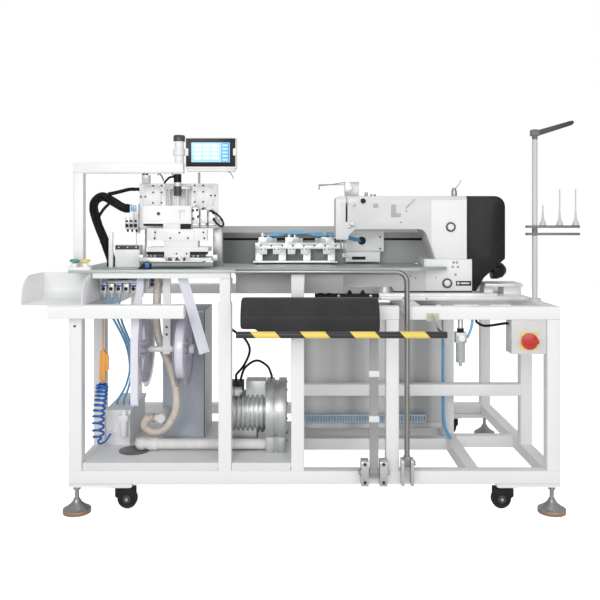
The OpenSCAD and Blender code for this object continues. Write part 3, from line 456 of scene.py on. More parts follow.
class Piece:
    """One piece of the scene, gathered from shapes drawn in millimetres."""

    def __init__(self, name, finish, body="base", slot="frame_white"):
        self.name = name
        self.body = body
        self.slot = slot
        self.mesh = bmesh.new()
        self.finishes = []
        self.use(finish)

    def use(self, finish):
        if finish not in self.finishes:
            self.finishes.append(finish)
        self.current = self.finishes.index(finish)
        return self

    def face(self, corners):
        made = self.mesh.faces.new(corners)
        made.material_index = self.current
        return made

    def skin(self, rings, closed=False, caps=True):
        """Faces between rings of points in metres."""
        rows = [[self.mesh.verts.new(point) for point in ring] for ring in rings]
        around = len(rows[0])
        pairs = list(zip(rows, rows[1:] + rows[:1] if closed else rows[1:]))
        for low, high in pairs:
            for j in range(around):
                k = (j + 1) % around
                self.face((low[j], low[k], high[k], high[j]))
        if caps and not closed:
            self.face(list(reversed(rows[0])))
            self.face(rows[-1])
        return self

    def soften(self, faces, radius, segments=2):
        edges = list({edge for face in faces for edge in face.edges})
        bmesh.ops.bevel(self.mesh, geom=edges, offset=radius / 1000, segments=segments, affect="EDGES",
                        profile=0.6, clamp_overlap=True, material=-1)

    def box(self, x0, x1, y0, y1, z0, z1, radius=1.2):
        outline = ((x0, y0), (x1, y0), (x1, y1), (x0, y1))
        low, high = [[self.mesh.verts.new(place(x, y, z)) for x, y in outline] for z in (z0, z1)]
        faces = [self.face(list(reversed(low))), self.face(high)]
        for j in range(4):
            k = (j + 1) % 4
            faces.append(self.face((low[j], low[k], high[k], high[j])))
        if radius:
            self.soften(faces, radius)
        return self

    def slab(self, axis, start, end, outline, radius=1.0):
        """A plate with its outline in the two other axes, thick along axis."""
        def point(pair, level):
            spot = list(pair)
            spot.insert(axis, level)
            return place(*spot)
        low = [self.mesh.verts.new(point(pair, start)) for pair in outline]
        high = [self.mesh.verts.new(point(pair, end)) for pair in outline]
        first = self.face(list(reversed(low)))
        last = self.face(high)
        for j in range(len(outline)):
            k = (j + 1) % len(outline)
            self.face((low[j], low[k], high[k], high[j]))
        if radius:
            self.soften([first, last], radius)
        return self

    def turned(self, spot, axis, profile, around=24):
        """A turned part: profile is [distance along axis, radius] in millimetres."""
        ahead = Vector(axis).normalized()
        side = ahead.orthogonal().normalized()
        up = ahead.cross(side)
        base = place(*spot)
        rings = []
        for along, radius in profile:
            middle = base + ahead * along / 1000
            rings.append(ring_round(middle, side, up, max(radius, 0.02) / 1000, around))
        return self.skin(rings)

    def bolt(self, spot, axis, radius=4.0, height=4.0):
        """A socket-head screw with a rounded rim and a hollow for the key."""
        rim = 0.86 * radius
        key = 0.5 * radius
        return self.turned(spot, axis, [(-0.4, radius), (0.78 * height, radius), (height, rim), (height, key),
                                        (0.4 * height, key), (0.4 * height, 0)], 12)

    def tube(self, points, radius, steps=4, around=8):
        line = spread([place(*point) for point in points], steps)
        return self.sweep(line, radius / 1000, around)

    def sweep(self, line, radius, around=8):
        """A round tube; radius may be a function of the place along the line."""
        rings = []
        for i, (point, (side, up)) in enumerate(zip(line, frames_along(line))):
            r = radius(i) if callable(radius) else radius
            rings.append(ring_round(point, side, up, r, around))
        return self.skin(rings)

    def done(self, *stands_for):
        bmesh.ops.recalc_face_normals(self.mesh, faces=self.mesh.faces)
        data = bpy.data.meshes.new(self.name)
        self.mesh.to_mesh(data)
        self.mesh.free()
        for finish in self.finishes:
            data.materials.append(finish.material)
        made = bpy.data.objects.new(self.name, data)
        bpy.context.scene.collection.objects.link(made)
        smooth(made)
        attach(made, self.body)
        if stands_for:
            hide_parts(*stands_for)
        return made


def smoothing_group(angle):
    """A modifier group: smooth faces, sharp where two faces meet at more than angle."""
    group = bpy.data.node_groups.new("smooth_by_angle", "GeometryNodeTree")
    group.interface.new_socket("Geometry", in_out="INPUT", socket_type="NodeSocketGeometry")
    group.interface.new_socket("Geometry", in_out="OUTPUT", socket_type="NodeSocketGeometry")
    kinds = ["NodeGroupInput", "GeometryNodeRemoveAttribute", "GeometryNodeSetShadeSmooth",
             "GeometryNodeSetShadeSmooth", "NodeGroupOutput"]
    chain = [group.nodes.new(kind) for kind in kinds]
    chain[1].inputs["Name"].default_value = "custom_normal"
    chain[2].domain = "FACE"
    chain[3].domain = "EDGE"
    for first, second in zip(chain, chain[1:]):
        group.links.new(first.outputs[0], second.inputs[0])
    meeting = group.nodes.new("GeometryNodeInputMeshEdgeAngle")
    compare = group.nodes.new("FunctionNodeCompare")
    compare.data_type = "FLOAT"
    compare.operation = "LESS_EQUAL"
    compare.inputs[1].default_value = angle
    group.links.new(meeting.outputs[0], compare.inputs[0])
    group.links.new(compare.outputs[0], chain[3].inputs["Shade Smooth"])
    return group


SHARP_ANGLE = math.radians(38)
smooth_by_angle = smoothing_group(SHARP_ANGLE)


def smooth(piece):
    piece.modifiers.new("smooth", "NODES").node_group = smooth_by_angle


# Finishes of the machine's own parts, and the small radius on their edges

node_finish = {
    "frame_posts": white, "frame_long_rails": white, "frame_cross_rails": white,
    "levelling_feet": foot_steel, "floor_shelf": grey_white, "left_tray": white,
    "table_top": table_steel, "apron_panels": sheet_grey, "gantry": gantry_white,
    "control_boxes": panel_white, "fold_columns": column_alu, "fold_back_plate": panel_white,
    "fold_actuators": fold_metal, "rear_axis_beam": beam_grey, "sewing_bed": head_grey,
    "sewing_arm": head_grey, "motor_cover": gloss_black, "head_fittings": chrome,
    "bed_base": white_alu, "thread_stand": stand_grey, "switch_box": switch_grey,
    "filter_regulator": cast_alu, "electrical_cabinet": cabinet_steel, "wire_duct": duct_blue,
    "blower_housing": cast_alu, "blower_motor": blower_metal, "vacuum_pipe": pipe_white,
    "air_box": white, "air_cabinet": air_steel, "valve_manifold": plate_alu,
    "reel_hanger": white, "tapes": tape_white, "blow_gun": orange_grip, "arm_pivots": cast_alu,
    "striped_bar": stripes, "screen": white_plastic, "green_button": green_cap,
    "yellow_button": yellow_cap, "switch_knob": red_knob, "fold_slide": slide_white,
    "fold_plate_left": plate_alu, "fold_plate_right": plate_alu, "transfer_carriage": panel_white,
    "transfer_clamp": plate_alu, "needle_bar": chrome, "handwheel": gloss_black,
    "stacker_arm": arm_grey, "wiper_arm": tube_steel, "reel_left": reel_left_finish,
    "reel_right": reel_right_finish,
}
for corner in CORNERS:
    node_finish["caster_" + corner] = matt_black
    node_finish["wheel_" + corner] = rubber_black
WELD_REACH = 0.00001
USUAL_EDGE = 0.9
edge_radius = {
    "frame_posts": 0, "frame_long_rails": 0, "frame_cross_rails": 0, "tapes": 0, "table_top": 0.8,
    "left_tray": 0.7, "floor_shelf": 0.7, "electrical_cabinet": 1.5, "sewing_arm": 3, "sewing_bed": 2,
}
for name, finish in node_finish.items():
    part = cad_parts[name]
    for material_slot in part.material_slots:
        material_slot.material = finish.material
    weld = part.modifiers.new("weld", "WELD")
    weld.merge_threshold = WELD_REACH
    radius = edge_radius.get(name, USUAL_EDGE)
    if radius:
        bevel = part.modifiers.new("edges", "BEVEL")
        bevel.width = radius / 1000
        bevel.segments = 2
        bevel.limit_method = "ANGLE"
        bevel.angle_limit = SHARP_ANGLE
    smooth(part)


# Hoses and cables, along the routes of the drawing

def cord(name, route, finish, build, steps=8):
    """A cord along given points; build makes its surface from the line and a piece."""
    line = spread([place(*point) for point in route], steps)
    piece = Piece(name, finish, slot="hoses")
    path = build(piece, line) or line
    made = piece.done("flexible_lines")
    length_of(path)
    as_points(path)
    return made


def plain_hose(radius):
    def build(piece, line):
        piece.sweep(line, radius, 12)
    return build


def bundle(radius, count, turn):
    """Cables side by side in a loose twist, with a few ties round them."""
    squeeze = 1.05
    strand = radius / (1 + 1 / math.sin(math.pi / count)) * squeeze
    ties = (0.08, 0.36, 0.66, 0.92)

    def build(piece, line):
        ways = frames_along(line)
        ring = radius - strand
        for k in range(count):
            offset = math.tau * k / count
            track = []
            for i, (point, (side, up)) in enumerate(zip(line, ways)):
                a = offset + turn * i / len(line) + 0.25 * math.sin(i * 0.37 + k)
                track.append(point + (side * math.cos(a) + up * math.sin(a)) * ring)
            piece.sweep(track, strand, 8)
        piece.sweep(line, ring * 0.8, 8)
        for share in ties:
            i = int(share * (len(line) - 1))
            piece.sweep(line[i:i + 2], radius * 1.02, 14)
    return build


def ribbed(radius, rib):
    """A clear suction hose with a wound rib."""
    def build(piece, line):
        total = length_of(line)
        count = int(total / rib) * 4
        fine = [point_on(line, k / count)[0] for k in range(count + 1)]
        piece.sweep(fine, lambda i: radius * (1.0 if i % 4 < 2 else 0.93), 18)
    return build


def coiled(radius, wire, turns):
    """A curly air hose: a helix round the route, narrower at both ends."""
    per_turn = 14
    narrow = 0.3
    widening = 9

    def build(piece, line):
        ways = frames_along(line)
        track = []
        for k in range(turns * per_turn + 1):
            share = k / (turns * per_turn)
            middle, i = point_on(line, share)
            side, up = ways[i]
            a = math.tau * k / per_turn
            ease = min(1.0, narrow + widening * share, narrow + widening * (1 - share))
            track.append(middle + (side * math.cos(a) + up * math.sin(a)) * (radius - wire) * ease)
        piece.sweep(track, wire, 8)
        return track
    return build


CORD_ROUTES = {
    "harness": [(-850, 310, 925.5), (-850, 310, 937), (-850, 310, 949), (-856, 310, 971), (-880, 308, 1037),
                (-914, 306, 1130), (-922, 305, 1187), (-888, 308, 1219), (-842, 314, 1197),
                (-800, 319, 1172), (-785, 319, 1170), (-769.5, 319, 1170)],
    "harness_branch": [(-862, 305, 1229), (-830, 312, 1236), (-785, 330, 1249), (-760, 332, 1251),
                       (-748, 332, 1251), (-735.5, 332, 1251)],
    "harness_link": [(-900, 292, 1130), (-876, 284, 1165), (-850, 292, 1193)],
    "suction_hose": [(-634, 215, 912), (-640, 215, 780), (-643, 215, 712), (-632, 217, 635), (-606, 220, 566),
                     (-580, 222, 496), (-562, 222, 420), (-566, 220, 334), (-604, 217, 270), (-650, 215, 252),
                     (-688, 215, 275), (-682, 215, 305), (-664, 215, 312), (-656, 215, 312),
                     (-648.5, 215, 312)],
    "coil_hose": [(-845, 150, 467), (-850, 150, 420), (-860, 150, 340), (-862, 150, 240)],
    "coil_tail": [(-862, 150, 239), (-860, 160, 222), (-842, 182, 225), (-829, 198, 245), (-828, 206, 246),
                  (-828, 214.5, 246)],
    "blower_feed": [(-352, 232, 912), (-356, 232, 760), (-342, 234, 680), (-286, 237, 636), (-262, 239, 585),
                    (-284, 240, 525), (-316, 240, 485), (-318, 240, 472), (-318, 240, 460.5)],
    "blower_link": [(-298, 245, 460.5), (-297, 245, 473), (-280, 244, 513), (-234, 242, 541),
                    (-190, 240, 519), (-173, 240, 483), (-172, 240, 470.5)],
    "filter_hose": [(580.5, 25, 670), (588, 25, 672), (600, 27, 700), (606, 28, 726), (606, 28, 739.5)],
    "switch_cable": [(622, 30, 739.5), (626, 32, 726), (660, 40, 712), (736, 50, 720), (744, 50, 720),
                     (751.5, 50, 720)],
    "cabinet_hose": [(566.5, 420, 600), (566.5, 420, 500), (567, 418, 400), (568, 416, 300), (576, 412, 215),
                     (600, 405, 173)],
}
for k in range(3):
    CORD_ROUTES["air_hose_%d" % k] = [(-841 + 30 * k, 168, 810.5), (-838 + 28 * k, 172, 770),
                                      (-812 + 14 * k, 225, 700), (-776 + 10 * k, 262, 600),
                                      (-768 + 10 * k, 290, 500), (-790 + 14 * k, 310, 420),
                                      (-826 + 26 * k, 330, 360), (-830 + 26 * k, 334, 338.5)]

cord("harness", CORD_ROUTES["harness"], sleeve_black, bundle(0.019, 8, 1.4))
cord("harness_branch", CORD_ROUTES["harness_branch"], sleeve_black, bundle(0.008, 4, 1.0))
cord("harness_link", CORD_ROUTES["harness_link"], sleeve_black, plain_hose(0.006))
cord("suction_hose", CORD_ROUTES["suction_hose"], clear_hose, ribbed(0.017, 0.0075))
cord("coil_hose", CORD_ROUTES["coil_hose"], blue_hose, coiled(0.026, 0.0046, 12))
cord("coil_tail", CORD_ROUTES["coil_tail"], blue_hose, plain_hose(0.004))
for k in range(3):
    cord("air_hose_%d" % k, CORD_ROUTES["air_hose_%d" % k], pale_blue_hose, plain_hose(0.0045))
for name in ("blower_feed", "blower_link", "switch_cable"):
    cord(name, CORD_ROUTES[name], sleeve_black, plain_hose(0.005))
cord("filter_hose", CORD_ROUTES["filter_hose"], pale_blue_hose, plain_hose(0.005))
cord("cabinet_hose", CORD_ROUTES["cabinet_hose"], pale_blue_hose, bundle(0.008, 4, 1.5))


# Operator screen: bezel, lit display and its generic tiles

def screen_face():
    x0, z0, w, h = -505, 1320, 201, 123
    front = 86
    piece = Piece("screen_face", gloss_black, "screen", "screen")
    piece.box(x0 + 4, x0 + w - 4, front - 1.5, front + 1, z0 + 9, z0 + h - 4, 1.2)
    piece.use(lit_sky).box(x0 + 25, x0 + w - 26, front - 2.2, front - 1, z0 + 26, z0 + h - 20, 0.2)
    piece.use(lit_pale)
    for column in range(3):
        for row in range(4):
            left = x0 + 36 + column * 34
            low = z0 + 36 + row * 16
            piece.box(left, left + 29, front - 2.7, front - 2, low, low + 12, 0.2)
    piece.use(lit_deep).box(x0 + 142, x0 + 172, front - 2.7, front - 2, z0 + 28, z0 + h - 22, 0.2)
    piece.use(lit_sky)
    for row in range(5):
        low = z0 + 31 + row * 14
        piece.box(x0 + 146, x0 + 168, front - 3.1, front - 2.5, low, low + 9, 0.2)
    piece.use(white_plastic)
    for left in (x0 + 1, x0 + w - 13):
        piece.box(left, left + 12, front - 3, front, z0 + 52, z0 + 80, 2)
    piece.done()


screen_face()


# Stacker pad: a padded bar with a sewn ridge and crowned ends

def stacker_cushion():
    low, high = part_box("stacker_pad")
    piece = Piece("stacker_cushion", vinyl, "stacker", "pad")
    depth = high[1] - low[1]
    height = high[2] - low[2]
    outline = [(1, 0), (1, 0.08), (1, 0.9), (0.97, 0.98), (0.9, 1), (0.66, 1), (0.55, 0.97), (0.3, 0.78),
               (0.12, 0.64), (0.06, 0.575), (0.085, 0.55), (0.03, 0.52), (0, 0.42), (0, 0.1), (0.04, 0.02),
               (0.12, 0)]
    rings = []
    count = 60
    for i in range(count + 1):
        share = i / count
        x = low[0] + (high[0] - low[0]) * share
        end = min(share, 1 - share) * count
        pull = 1 - 0.055 * max(0, 1 - end / 2.5) ** 2
        ripple = 0.004 * math.sin(share * 23) + 0.003 * math.sin(share * 41 + 1)
        ring = []
        for across, up in outline:
            step = 0.13 if share < 0.13 and up < 0.3 else 0
            y = high[1] - depth * (1 - across) * (pull + ripple)
            z = low[2] + height * (0.5 + (max(up, step) - 0.5) * (pull + 0.5 * ripple))
            ring.append(Vector((x, y, z)))
        rings.append(ring)
    piece.skin(rings)
    made = piece.done("stacker_pad")
    round_off = made.modifiers.new("round", "SUBSURF")
    round_off.levels = 1
    round_off.render_levels = 1


stacker_cushion()


# Fold head: screws, connectors, black bars of painted shade in its gaps, and bright strips

PLATE_FACE = 325
VALVE_FACE = 282
SLIDE_FACE = 255
TEMPLATE_FACE = 205
PLATE_SCREWS = [(-677, 1265), (-641, 1265), (-677, 1237), (-641, 1237), (-728, 1219), (-710, 1219),
                (-677, 1193), (-641, 1193), (-501, 1267), (-465, 1267), (-501, 1240), (-465, 1240),
                (-432, 1224), (-414, 1224), (-501, 1197), (-465, 1197)]
SLIDE_SCREWS = [(-592, 1045), (-519, 1045), (-654, 1069), (-657, 1045), (-455, 1069), (-451, 1045),
                (-554, 1068)]
VALVE_PORTS = [(-417, 1150), (-415, 1122)]
# In the way of the rising slide, so level with the valves' faces
FLUSH_PORTS = [(-444, 1102), (-502, 1126), (-480, 1134), (-502, 1160), (-485, 1162), (-460, 1167)]


def fold_head_details():
    piece = Piece("fold_screws", dark_steel, slot="black_matte")
    for x, z in PLATE_SCREWS:
        piece.bolt((x, PLATE_FACE, z), FRONT, 4, 2.2)
    for x, z in VALVE_PORTS:
        piece.turned((x, VALVE_FACE, z), FRONT, [(-0.5, 6), (3, 6), (3.5, 4), (8, 4), (8, 2.4), (5, 2.2)], 14)
    for x, z in FLUSH_PORTS:
        piece.turned((x, VALVE_FACE, z), FRONT, [(-0.5, 6), (1.2, 6), (1.2, 3.6), (0.2, 3.4)], 14)
    piece.use(matt_black)
    for k in range(3):
        piece.box(-788 + 18 * k, -775 + 18 * k, 296, 300.5, 1090, 1104, 1.5)
        piece.box(-786 + 18 * k, -777 + 18 * k, 294, 300.5, 1112, 1120, 1)
        piece.turned((-780.5 + 18 * k, 312, 1081.5), DOWN, [(-0.5, 5), (6, 5), (7, 3.2), (12, 3.2)], 12)
    for x in (-714, -700):
        piece.box(x - 5, x + 5, 303, 318, 1309.5, 1330, 2)
    piece.use(chrome)
    for k in range(3):
        piece.box(-503 + 34 * k, -479 + 34 * k, 280.8, 282.5, 1096, 1104, 0.6)
        piece.turned((-491 + 34 * k, 303, 1171.5 - 8 * k), UP, [(-0.5, 7), (5, 7), (6, 5), (12, 5)], 14)
    piece.use(sheet_grey).box(-487, -478, 328, 336, TABLE + 349.6, TABLE + 397, 1)
    piece.use(pale_blue_hose)
    for k in range(3):
        piece.box(-765 + 9 * k, -759 + 9 * k, 296, 300.5, 1156, 1184, 1)
    piece.done()

    moving = Piece("slide_details", dark_steel, "fold_slide", "black_matte")
    for x, z in SLIDE_SCREWS:
        moving.bolt((x, SLIDE_FACE, z), FRONT, 4, 3)
    for x, z in [(-558, 983), (-517, 983)]:
        moving.bolt((x, TEMPLATE_FACE, z), FRONT, 3.5, 2.5)
    moving.turned((-647, 288, 1147), FRONT, [(-0.5, 7), (3, 7), (3.6, 6), (3.6, 3), (1, 3)], 16)
    moving.use(matt_black)
    moving.box(-711, -632, 292, 318, 1096, 1104.6, 1)
    moving.box(-556, -511, 289, 294, 1083, 1104, 1)
    # Painted shade: two black bars where the gaps beside the slide fall dark
    moving.box(-680, -610, 207, 260, 979, 990.6, 1)
    moving.box(-502, -436, 207, 260, 979, 990.6, 1)
    moving.use(dark_steel)
    moving.box(-676, -610, 206, 222, 969, 979.4, 2)
    moving.box(-502, -440, 206, 222, 969, 979.4, 2)
    moving.use(chrome)
    for x in (-662, -646, -488, -470):
        moving.turned((x, 206, 974), FRONT, [(-0.5, 4.4), (5, 4.4), (6, 3.6), (6, 2), (3, 2)], 14)
    moving.done()

    clip = Piece("table_clip", gloss_black, slot="black_matte")
    clip.slab(1, 120, 142, [(-700, TABLE), (-646, TABLE), (-646, TABLE + 20), (-656, TABLE + 31),
                            (-670, TABLE + 31), (-684, TABLE + 13)])
    clip.use(blue_hose).box(-668, -652, 117, 121, TABLE + 6, TABLE + 24, 2)
    clip.done()

    band = Piece("side_box_band", dark_steel, slot="black_matte")
    band.box(-827, -727, 284.4, 285.4, TABLE + 72, TABLE + 90, 0.3)
    band.use(plate_alu)
    for x in (-812, -776, -740):
        band.bolt((x, 284.5, TABLE + 81), FRONT, 3, 1.5)
    band.done()


fold_head_details()
cord("lift_cable", [(-705, 318, 1330), (-696, 315, 1342), (-672, 312, 1338), (-648, 312, 1318),
                    (-636, 318, 1300), (-632, 322, 1286)], sleeve_black, plain_hose(0.0025))
cord("lift_cable_loop", [(-583, 300, 1300), (-596, 296, 1322), (-604, 297, 1345), (-618, 300, 1322),
                         (-640, 306, 1318), (-655, 312, 1310)], sleeve_black, plain_hose(0.002))
cord("lift_hose", [(-586, 300, 1302), (-602, 304, 1300), (-618, 312, 1288), (-628, 320, 1277)],
     sleeve_black, plain_hose(0.0045))
cord("valve_loop", [(-433, 276, 1160), (-412, 268, 1152), (-385, 262, 1130), (-372, 262, 1102),
                    (-384, 264, 1094), (-404, 268, 1110), (-414, 275, 1128)],
     sleeve_black, plain_hose(0.004))


# Screen: bottom lip and cable hook

def screen_back():
    piece = Piece("screen_hook", white_plastic, "screen", "screen")
    piece.box(-500, -309, 88, 112, 1310, 1320.5, 2)
    piece.use(sheet_grey)
    piece.tube([(-340, 100, 1311), (-330, 98, 1306), (-322, 96, 1296), (-317, 95, 1284)], 2.5)
    piece.done()


screen_back()


# Sewing head: white panels, dials, screws, nameplate and thread guides

HEAD_FACE = 320
HEAD_HOLES = [(594, 941), (608, 941), (590, 922), (612, 922), (602, 890)]
HEAD_SCREWS = [(412, 884), (433, 875), (519, 875), (395, 1158), (372, 1110)]


def sewing_details():
    piece = Piece("head_panels", panel_white, slot="head_grey")
    piece.slab(1, 318.4, 320.2, [(519, 957), (649, 957), (649, 1205), (500, 1205), (500, 1020)], 0.6)
    piece.box(476, 671, 318.4, 320.2, 823, 953.5, 0.6)
    piece.use(sheet_grey)
    piece.box(331, 349, 319.9, 321.6, 1133, 1185, 0.3)
    piece.box(349, 371, 319.9, 321.6, 1133, 1147, 0.3)
    piece.use(matt_black)
    piece.box(139, 145, 321, 327.8, 1113, 1191, 0.5)
    piece.box(346, 671, 319.2, 324, 813.5, 819.8, 0.8)
    for x, z in HEAD_HOLES:
        piece.turned((x, 318.6, z), FRONT, [(-0.4, 5), (0.6, 5), (0.6, 3.6), (0.2, 3.4)], 16)
    for x, z in HEAD_SCREWS:
        piece.bolt((x, HEAD_FACE, z), FRONT, 2.6, 2)
    piece.turned((211, 314, 1201), FRONT, [(-0.5, 10.5), (5, 10.5), (7, 8), (7.4, 3)], 22)
    piece.done()

    plate = Piece("nameplate", gloss_black, slot="black_shell")
    plate.box(604, 668, 317.2, 318.6, 843, 863, 0.6)
    plate.use(plate_alu)
    plate.box(609, 618, 316.8, 317.4, 848, 858, 0.2)
    plate.box(623, 661, 316.8, 317.4, 850, 856, 0.2)
    plate.done()

    dials = Piece("dials", dark_steel, slot="chrome_bits")
    for x, z in ((581, 1091), (566, 854)):
        dials.use(dark_steel)
        dials.turned((x, 313, z), FRONT, [(-0.5, 20.4), (2, 20.4), (2.6, 19), (2.6, 15.5), (0.6, 15.2)], 40)
        dials.use(panel_white)
        dials.turned((x, 310.4, z), FRONT, [(-0.4, 13.5), (1.6, 13.2), (3.4, 11), (4.2, 6), (4.4, 0)], 36)
    dials.done()

    guides = Piece("thread_guides", chrome, slot="chrome_bits")
    for x, z, r in ((169, 1101, 10), (154, 1090, 6), (173, 1183, 6)):
        guides.turned((x, HEAD_FACE, z), FRONT, [(-0.5, r), (2, r), (3, 0.5 * r), (5, 0.5 * r), (6, r),
                                                 (8, r), (9, 0.4 * r), (13, 0.4 * r), (13, 0)], 24)
    guides.use(sheet_grey)
    guides.box(254, 276, 318.6, 320.2, 1172, 1190, 0.5)
    guides.use(chrome)
    guides.tube([(142, 316, 1180), (142, 309, 1196), (141, 308, 1216), (143, 314, 1232)], 1.6)
    guides.tube([(26, 400, 1272), (40, 398, 1270), (80, 396, 1274), (130, 396, 1282), (142, 398, 1284)], 2)
    guides.tube([(392, 319, 1170), (404, 312, 1182), (418, 311, 1196), (430, 316, 1208)], 1.6)
    guides.tube([(604, 400, 1255), (622, 398, 1262), (636, 398, 1280), (642, 398, 1294)], 1.6)
    guides.turned((168, 369.6, 1253), FRONT, [(-0.5, 9), (2, 9), (2.6, 7), (2.6, 4), (1, 4)], 22)
    guides.done()

    foot = Piece("presser_foot", chrome, slot="chrome_bits")
    foot.turned((136, 404, 1037.5), DOWN, [(-0.5, 3.4), (62, 3.4), (63, 2.4)], 14)
    foot.box(127.6, 150, 394, 414, 966, 975, 1.5)
    foot.box(127.6, 156, 398, 412, 958, 966.4, 1.2)
    foot.done()


sewing_details()


# Transfer: white valve blocks, screws and air tubes

def transfer_details():
    piece = Piece("transfer_blocks", panel_white, "transfer", "white_plate")
    for x in (-236, -176, -110, -52, 48):
        piece.box(x, x + 34, 501.5, 506.4, 968, 1000, 1.5)
    piece.use(clear_block)
    for x in (-205, -88, 12):
        piece.box(x, x + 46, 503, 507, 1019, 1040, 1.5)
    piece.use(dark_steel)
    for x in (-228, -210, -168, -150, -100, -84, -44, -26, 56, 74):
        piece.bolt((x, 501.6, 990), FRONT, 3, 2)
    for x, z in ((304, 1045), (304, 993), (164, 1052)):
        piece.bolt((x, 506, z), FRONT, 4, 3)
    piece.use(matt_black)
    piece.box(178, 237, 509, 512, 944, 956.6, 0.5)
    piece.turned((222, 511, 1028), BACK, [(-0.5, 17.6), (20, 17.6), (21, 10)], 30)
    piece.done()


transfer_details()
for k in range(4):
    lift = 4 * k
    ride = [(224 - 4 * k, 520, 1024 + 3 * k), (206, 503.6, 1026 + lift), (168, 503.2, 1034 + lift),
            (110, 505, 1046 + lift), (20, 510, 1062 - lift), (-70, 514 + lift, 1060 + lift),
            (-150, 518, 1062 - lift), (-218, 524, 1050 + 2 * k)]
    air = Piece("transfer_tube_%d" % k, pale_blue_hose, "transfer", "hoses")
    line = spread([place(*point) for point in ride], 6)
    air.sweep(line, 0.003, 10)
    air.done()
    length_of(line)


# Small parts about the frame

def frame_details():
    piece = Piece("frame_screws", dark_steel, slot="black_matte")
    for x, y, z in ((-911, 0, 716), (-591, 164, 660), (-591, 164, 690)):
        piece.bolt((x, y, z), FRONT, 4.5, 3)
    for x in (-848, -800, -752, -704):
        piece.bolt((x, 190, 858), FRONT, 3.5, 2.5)
    for x in range(275, 560, 95):
        piece.bolt((x, 230, 798), FRONT, 3, 2)
    for x in (188, 258):
        for z in (138, 206):
            piece.bolt((x, -48, z), FRONT, 6, 5)
    piece.use(matt_black)
    for k in range(6):
        piece.turned((-841 + 30 * k, 149.8, 845), FRONT, [(-0.5, 7), (6, 7), (7, 5), (12, 5)], 14)
    piece.use(blue_hose)
    for k in range(0, 6, 2):
        piece.box(-851 + 30 * k, -831 + 30 * k, 148.4, 150.4, 852, 862, 0.6)
    piece.done()

    tray = Piece("under_table_unit", sheet_grey, slot="black_matte")
    tray.box(-872, -640, 300, 440, 838, 912.6, 2)
    tray.use(arm_grey).box(-872, -860, 250, 300, 834, 912.6, 1)
    tray.use(blue_hose)
    for x in (-812, -700):
        tray.box(x, x + 34, 284, 300.6, 862, 890, 2)
    tray.use(matt_black)
    tray.box(-866, -650, 296, 300.4, 846, 853, 1)
    for x in (-846, -768, -740, -664):
        tray.bolt((x, 300.2, 876), FRONT, 4, 3)
    tray.done()

    rail = Piece("under_rail", matt_black, slot="black_matte")
    rail.box(6, 270, 236, 262, 800, 816, 2)
    for x in (30, 66, 150, 204):
        rail.turned((x, 248, 815), UP, [(0, 10), (7, 10), (8, 6), (14, 6), (15, 3)], 16)
    rail.use(chrome)
    for x in (104, 236):
        rail.turned((x, 236.4, 808), FRONT, [(-0.4, 6), (4, 6), (5, 3)], 16)
    rail.done()

    washers = Piece("pivot_washers", chrome, slot="blower")
    for x, way in ((174, -1), (272, 1)):
        washers.turned((x, -25, 170), (way, 0, 0), [(-0.3, 15), (3, 15), (4, 13), (4, 9), (9, 9),
                                                    (10, 7)], 24)
    washers.done()

    blower = Piece("blower_screws", dark_steel, slot="blower")
    count = 12
    circle = 122
    for k in range(count):
        a = math.tau * k / count
        blower.bolt((-110, 240 + circle * math.cos(a), 335 + circle * math.sin(a)), RIGHT, 4, 3)
    blower.use(white_alu)
    for x in (-344, -318):
        blower.turned((x, 176, 427), RIGHT, [(0, 15), (1, 17.4), (20, 17.4), (21, 15)], 24)
    blower.use(matt_black)
    blower.box(-360, -225, 184, 188.4, 222, 236, 1)
    blower.done()

    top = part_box("thread_stand")[1][2] * 1000 - 28
    guide = Piece("stand_guide_arm", dark_steel, slot="chrome_bits")
    guide.slab(1, 208, 226, [(916, top - 27), (916, top - 3), (1045, top + 34), (1058, top + 36),
                             (1064, top + 29), (1056, top + 18)], 2)
    for x in (938, 1007, 1072):
        guide.use(stand_grey)
        guide.turned((x, 217, TABLE + 172.6), UP, [(0, 14), (8, 13), (22, 7), (30, 5), (58, 3.4)], 20)
    guide.done()

    filter_parts = Piece("filter_parts", matt_black, slot="black_matte")
    filter_parts.turned((560, 25, 690), UP, [(-0.5, 13), (14, 13), (16, 10), (22, 10), (23, 6)], 20)
    filter_parts.use(clear_block)
    filter_parts.turned((560, 25, 649), DOWN, [(0, 17.4), (60, 17.4), (70, 13), (74, 8)], 28)
    filter_parts.use(panel_white)
    filter_parts.turned((560, 0.2, 670), FRONT, [(-0.5, 12.5), (2, 12.5), (2.6, 11), (2.2, 0)], 28)
    filter_parts.done()


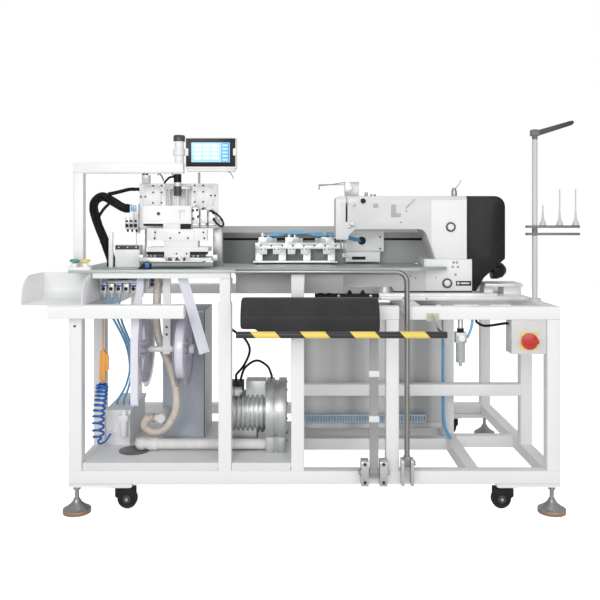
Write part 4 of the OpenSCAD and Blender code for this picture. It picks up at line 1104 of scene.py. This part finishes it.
def caster_hubs():
    for corner in CORNERS:
        low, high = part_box("wheel_" + corner)
        x, y, z = ((Vector(low) + Vector(high)) / 2 - SHIFT) * 1000
        hub = Piece("hub_" + corner, dark_steel, "caster_" + corner, "black_matte")
        for way in (-1, 1):
            out = (0, way, 0)
            hub.use(dark_steel)
            hub.turned((x, y + 20 * way, z), out, [(-0.4, 16), (2, 16), (3, 14), (3, 8)], 28)
            hub.use(chrome)
            hub.turned((x, y + 21 * way, z), out, [(0, 6.4), (4, 6.4), (5, 5)], 18)
        hub.done()


frame_details()
caster_hubs()


# Light, floor and background

PLAIN_LIGHT = 0.46


def studio():
    world = bpy.data.worlds.new("studio")
    bpy.context.scene.world = world
    world.use_nodes = True
    sky = Nodes(world.node_tree)
    background = sky.tree.nodes["Background"]
    seen = sky.node("LightPath", output="Is Camera Ray")
    through = sky.node("LightPath", output="Is Transmission Ray")
    white_there = seen.math("MAXIMUM", seen, through)
    span = {"To Min": PLAIN_LIGHT, "To Max": 1.0}
    sky.feed(background.inputs["Color"], (1, 1, 1))
    sky.feed(background.inputs["Strength"], sky.node("MapRange", None, {"Value": white_there, **span}))

    floor_mesh = bpy.data.meshes.new("floor")
    reach = 9
    corners = [(-reach, -reach, 0), (reach, -reach, 0), (reach, reach, 0), (-reach, reach, 0)]
    floor_mesh.from_pydata(corners, [], [(0, 1, 2, 3)])
    floor = bpy.data.objects.new("floor", floor_mesh)
    bpy.context.scene.collection.objects.link(floor)
    pale = Finish("floor_pale", (0.92, 0.92, 0.92), 0.9)
    pale.set("Base Color", pale.tint(pale.noise(1.2).sharp(0.3, 0.8), 0.985))
    seen = pale.node("LightPath", output="Is Camera Ray")
    pale.set("Emission Color", pale.mix(seen, (0, 0, 0), (0.8, 0.8, 0.8)))
    pale.set("Emission Strength", 1.0)
    floor_mesh.materials.append(pale.material)

    # Each lamp's place, power in watts and width in metres
    lamps = {"key": ((-1.3, -4.4, 2.3), 68, 2.0), "fill": ((1.5, -4.4, 1.5), 36, 2.4),
             "top": ((0.2, 0.3, 3.6), 26, 3.0)}
    machine_middle = Vector((0, 0, 0.7))
    for name, (spot, power, size) in lamps.items():
        lamp = bpy.data.lights.new(name, "AREA")
        lamp.energy = power
        lamp.size = size
        made = bpy.data.objects.new(name, lamp)
        made.location = spot
        aim = machine_middle - Vector(spot)
        made.rotation_euler = aim.to_track_quat("-Z", "Y").to_euler()
        bpy.context.scene.collection.objects.link(made)


studio()
bpy.context.scene.view_settings.view_transform = "Standard"
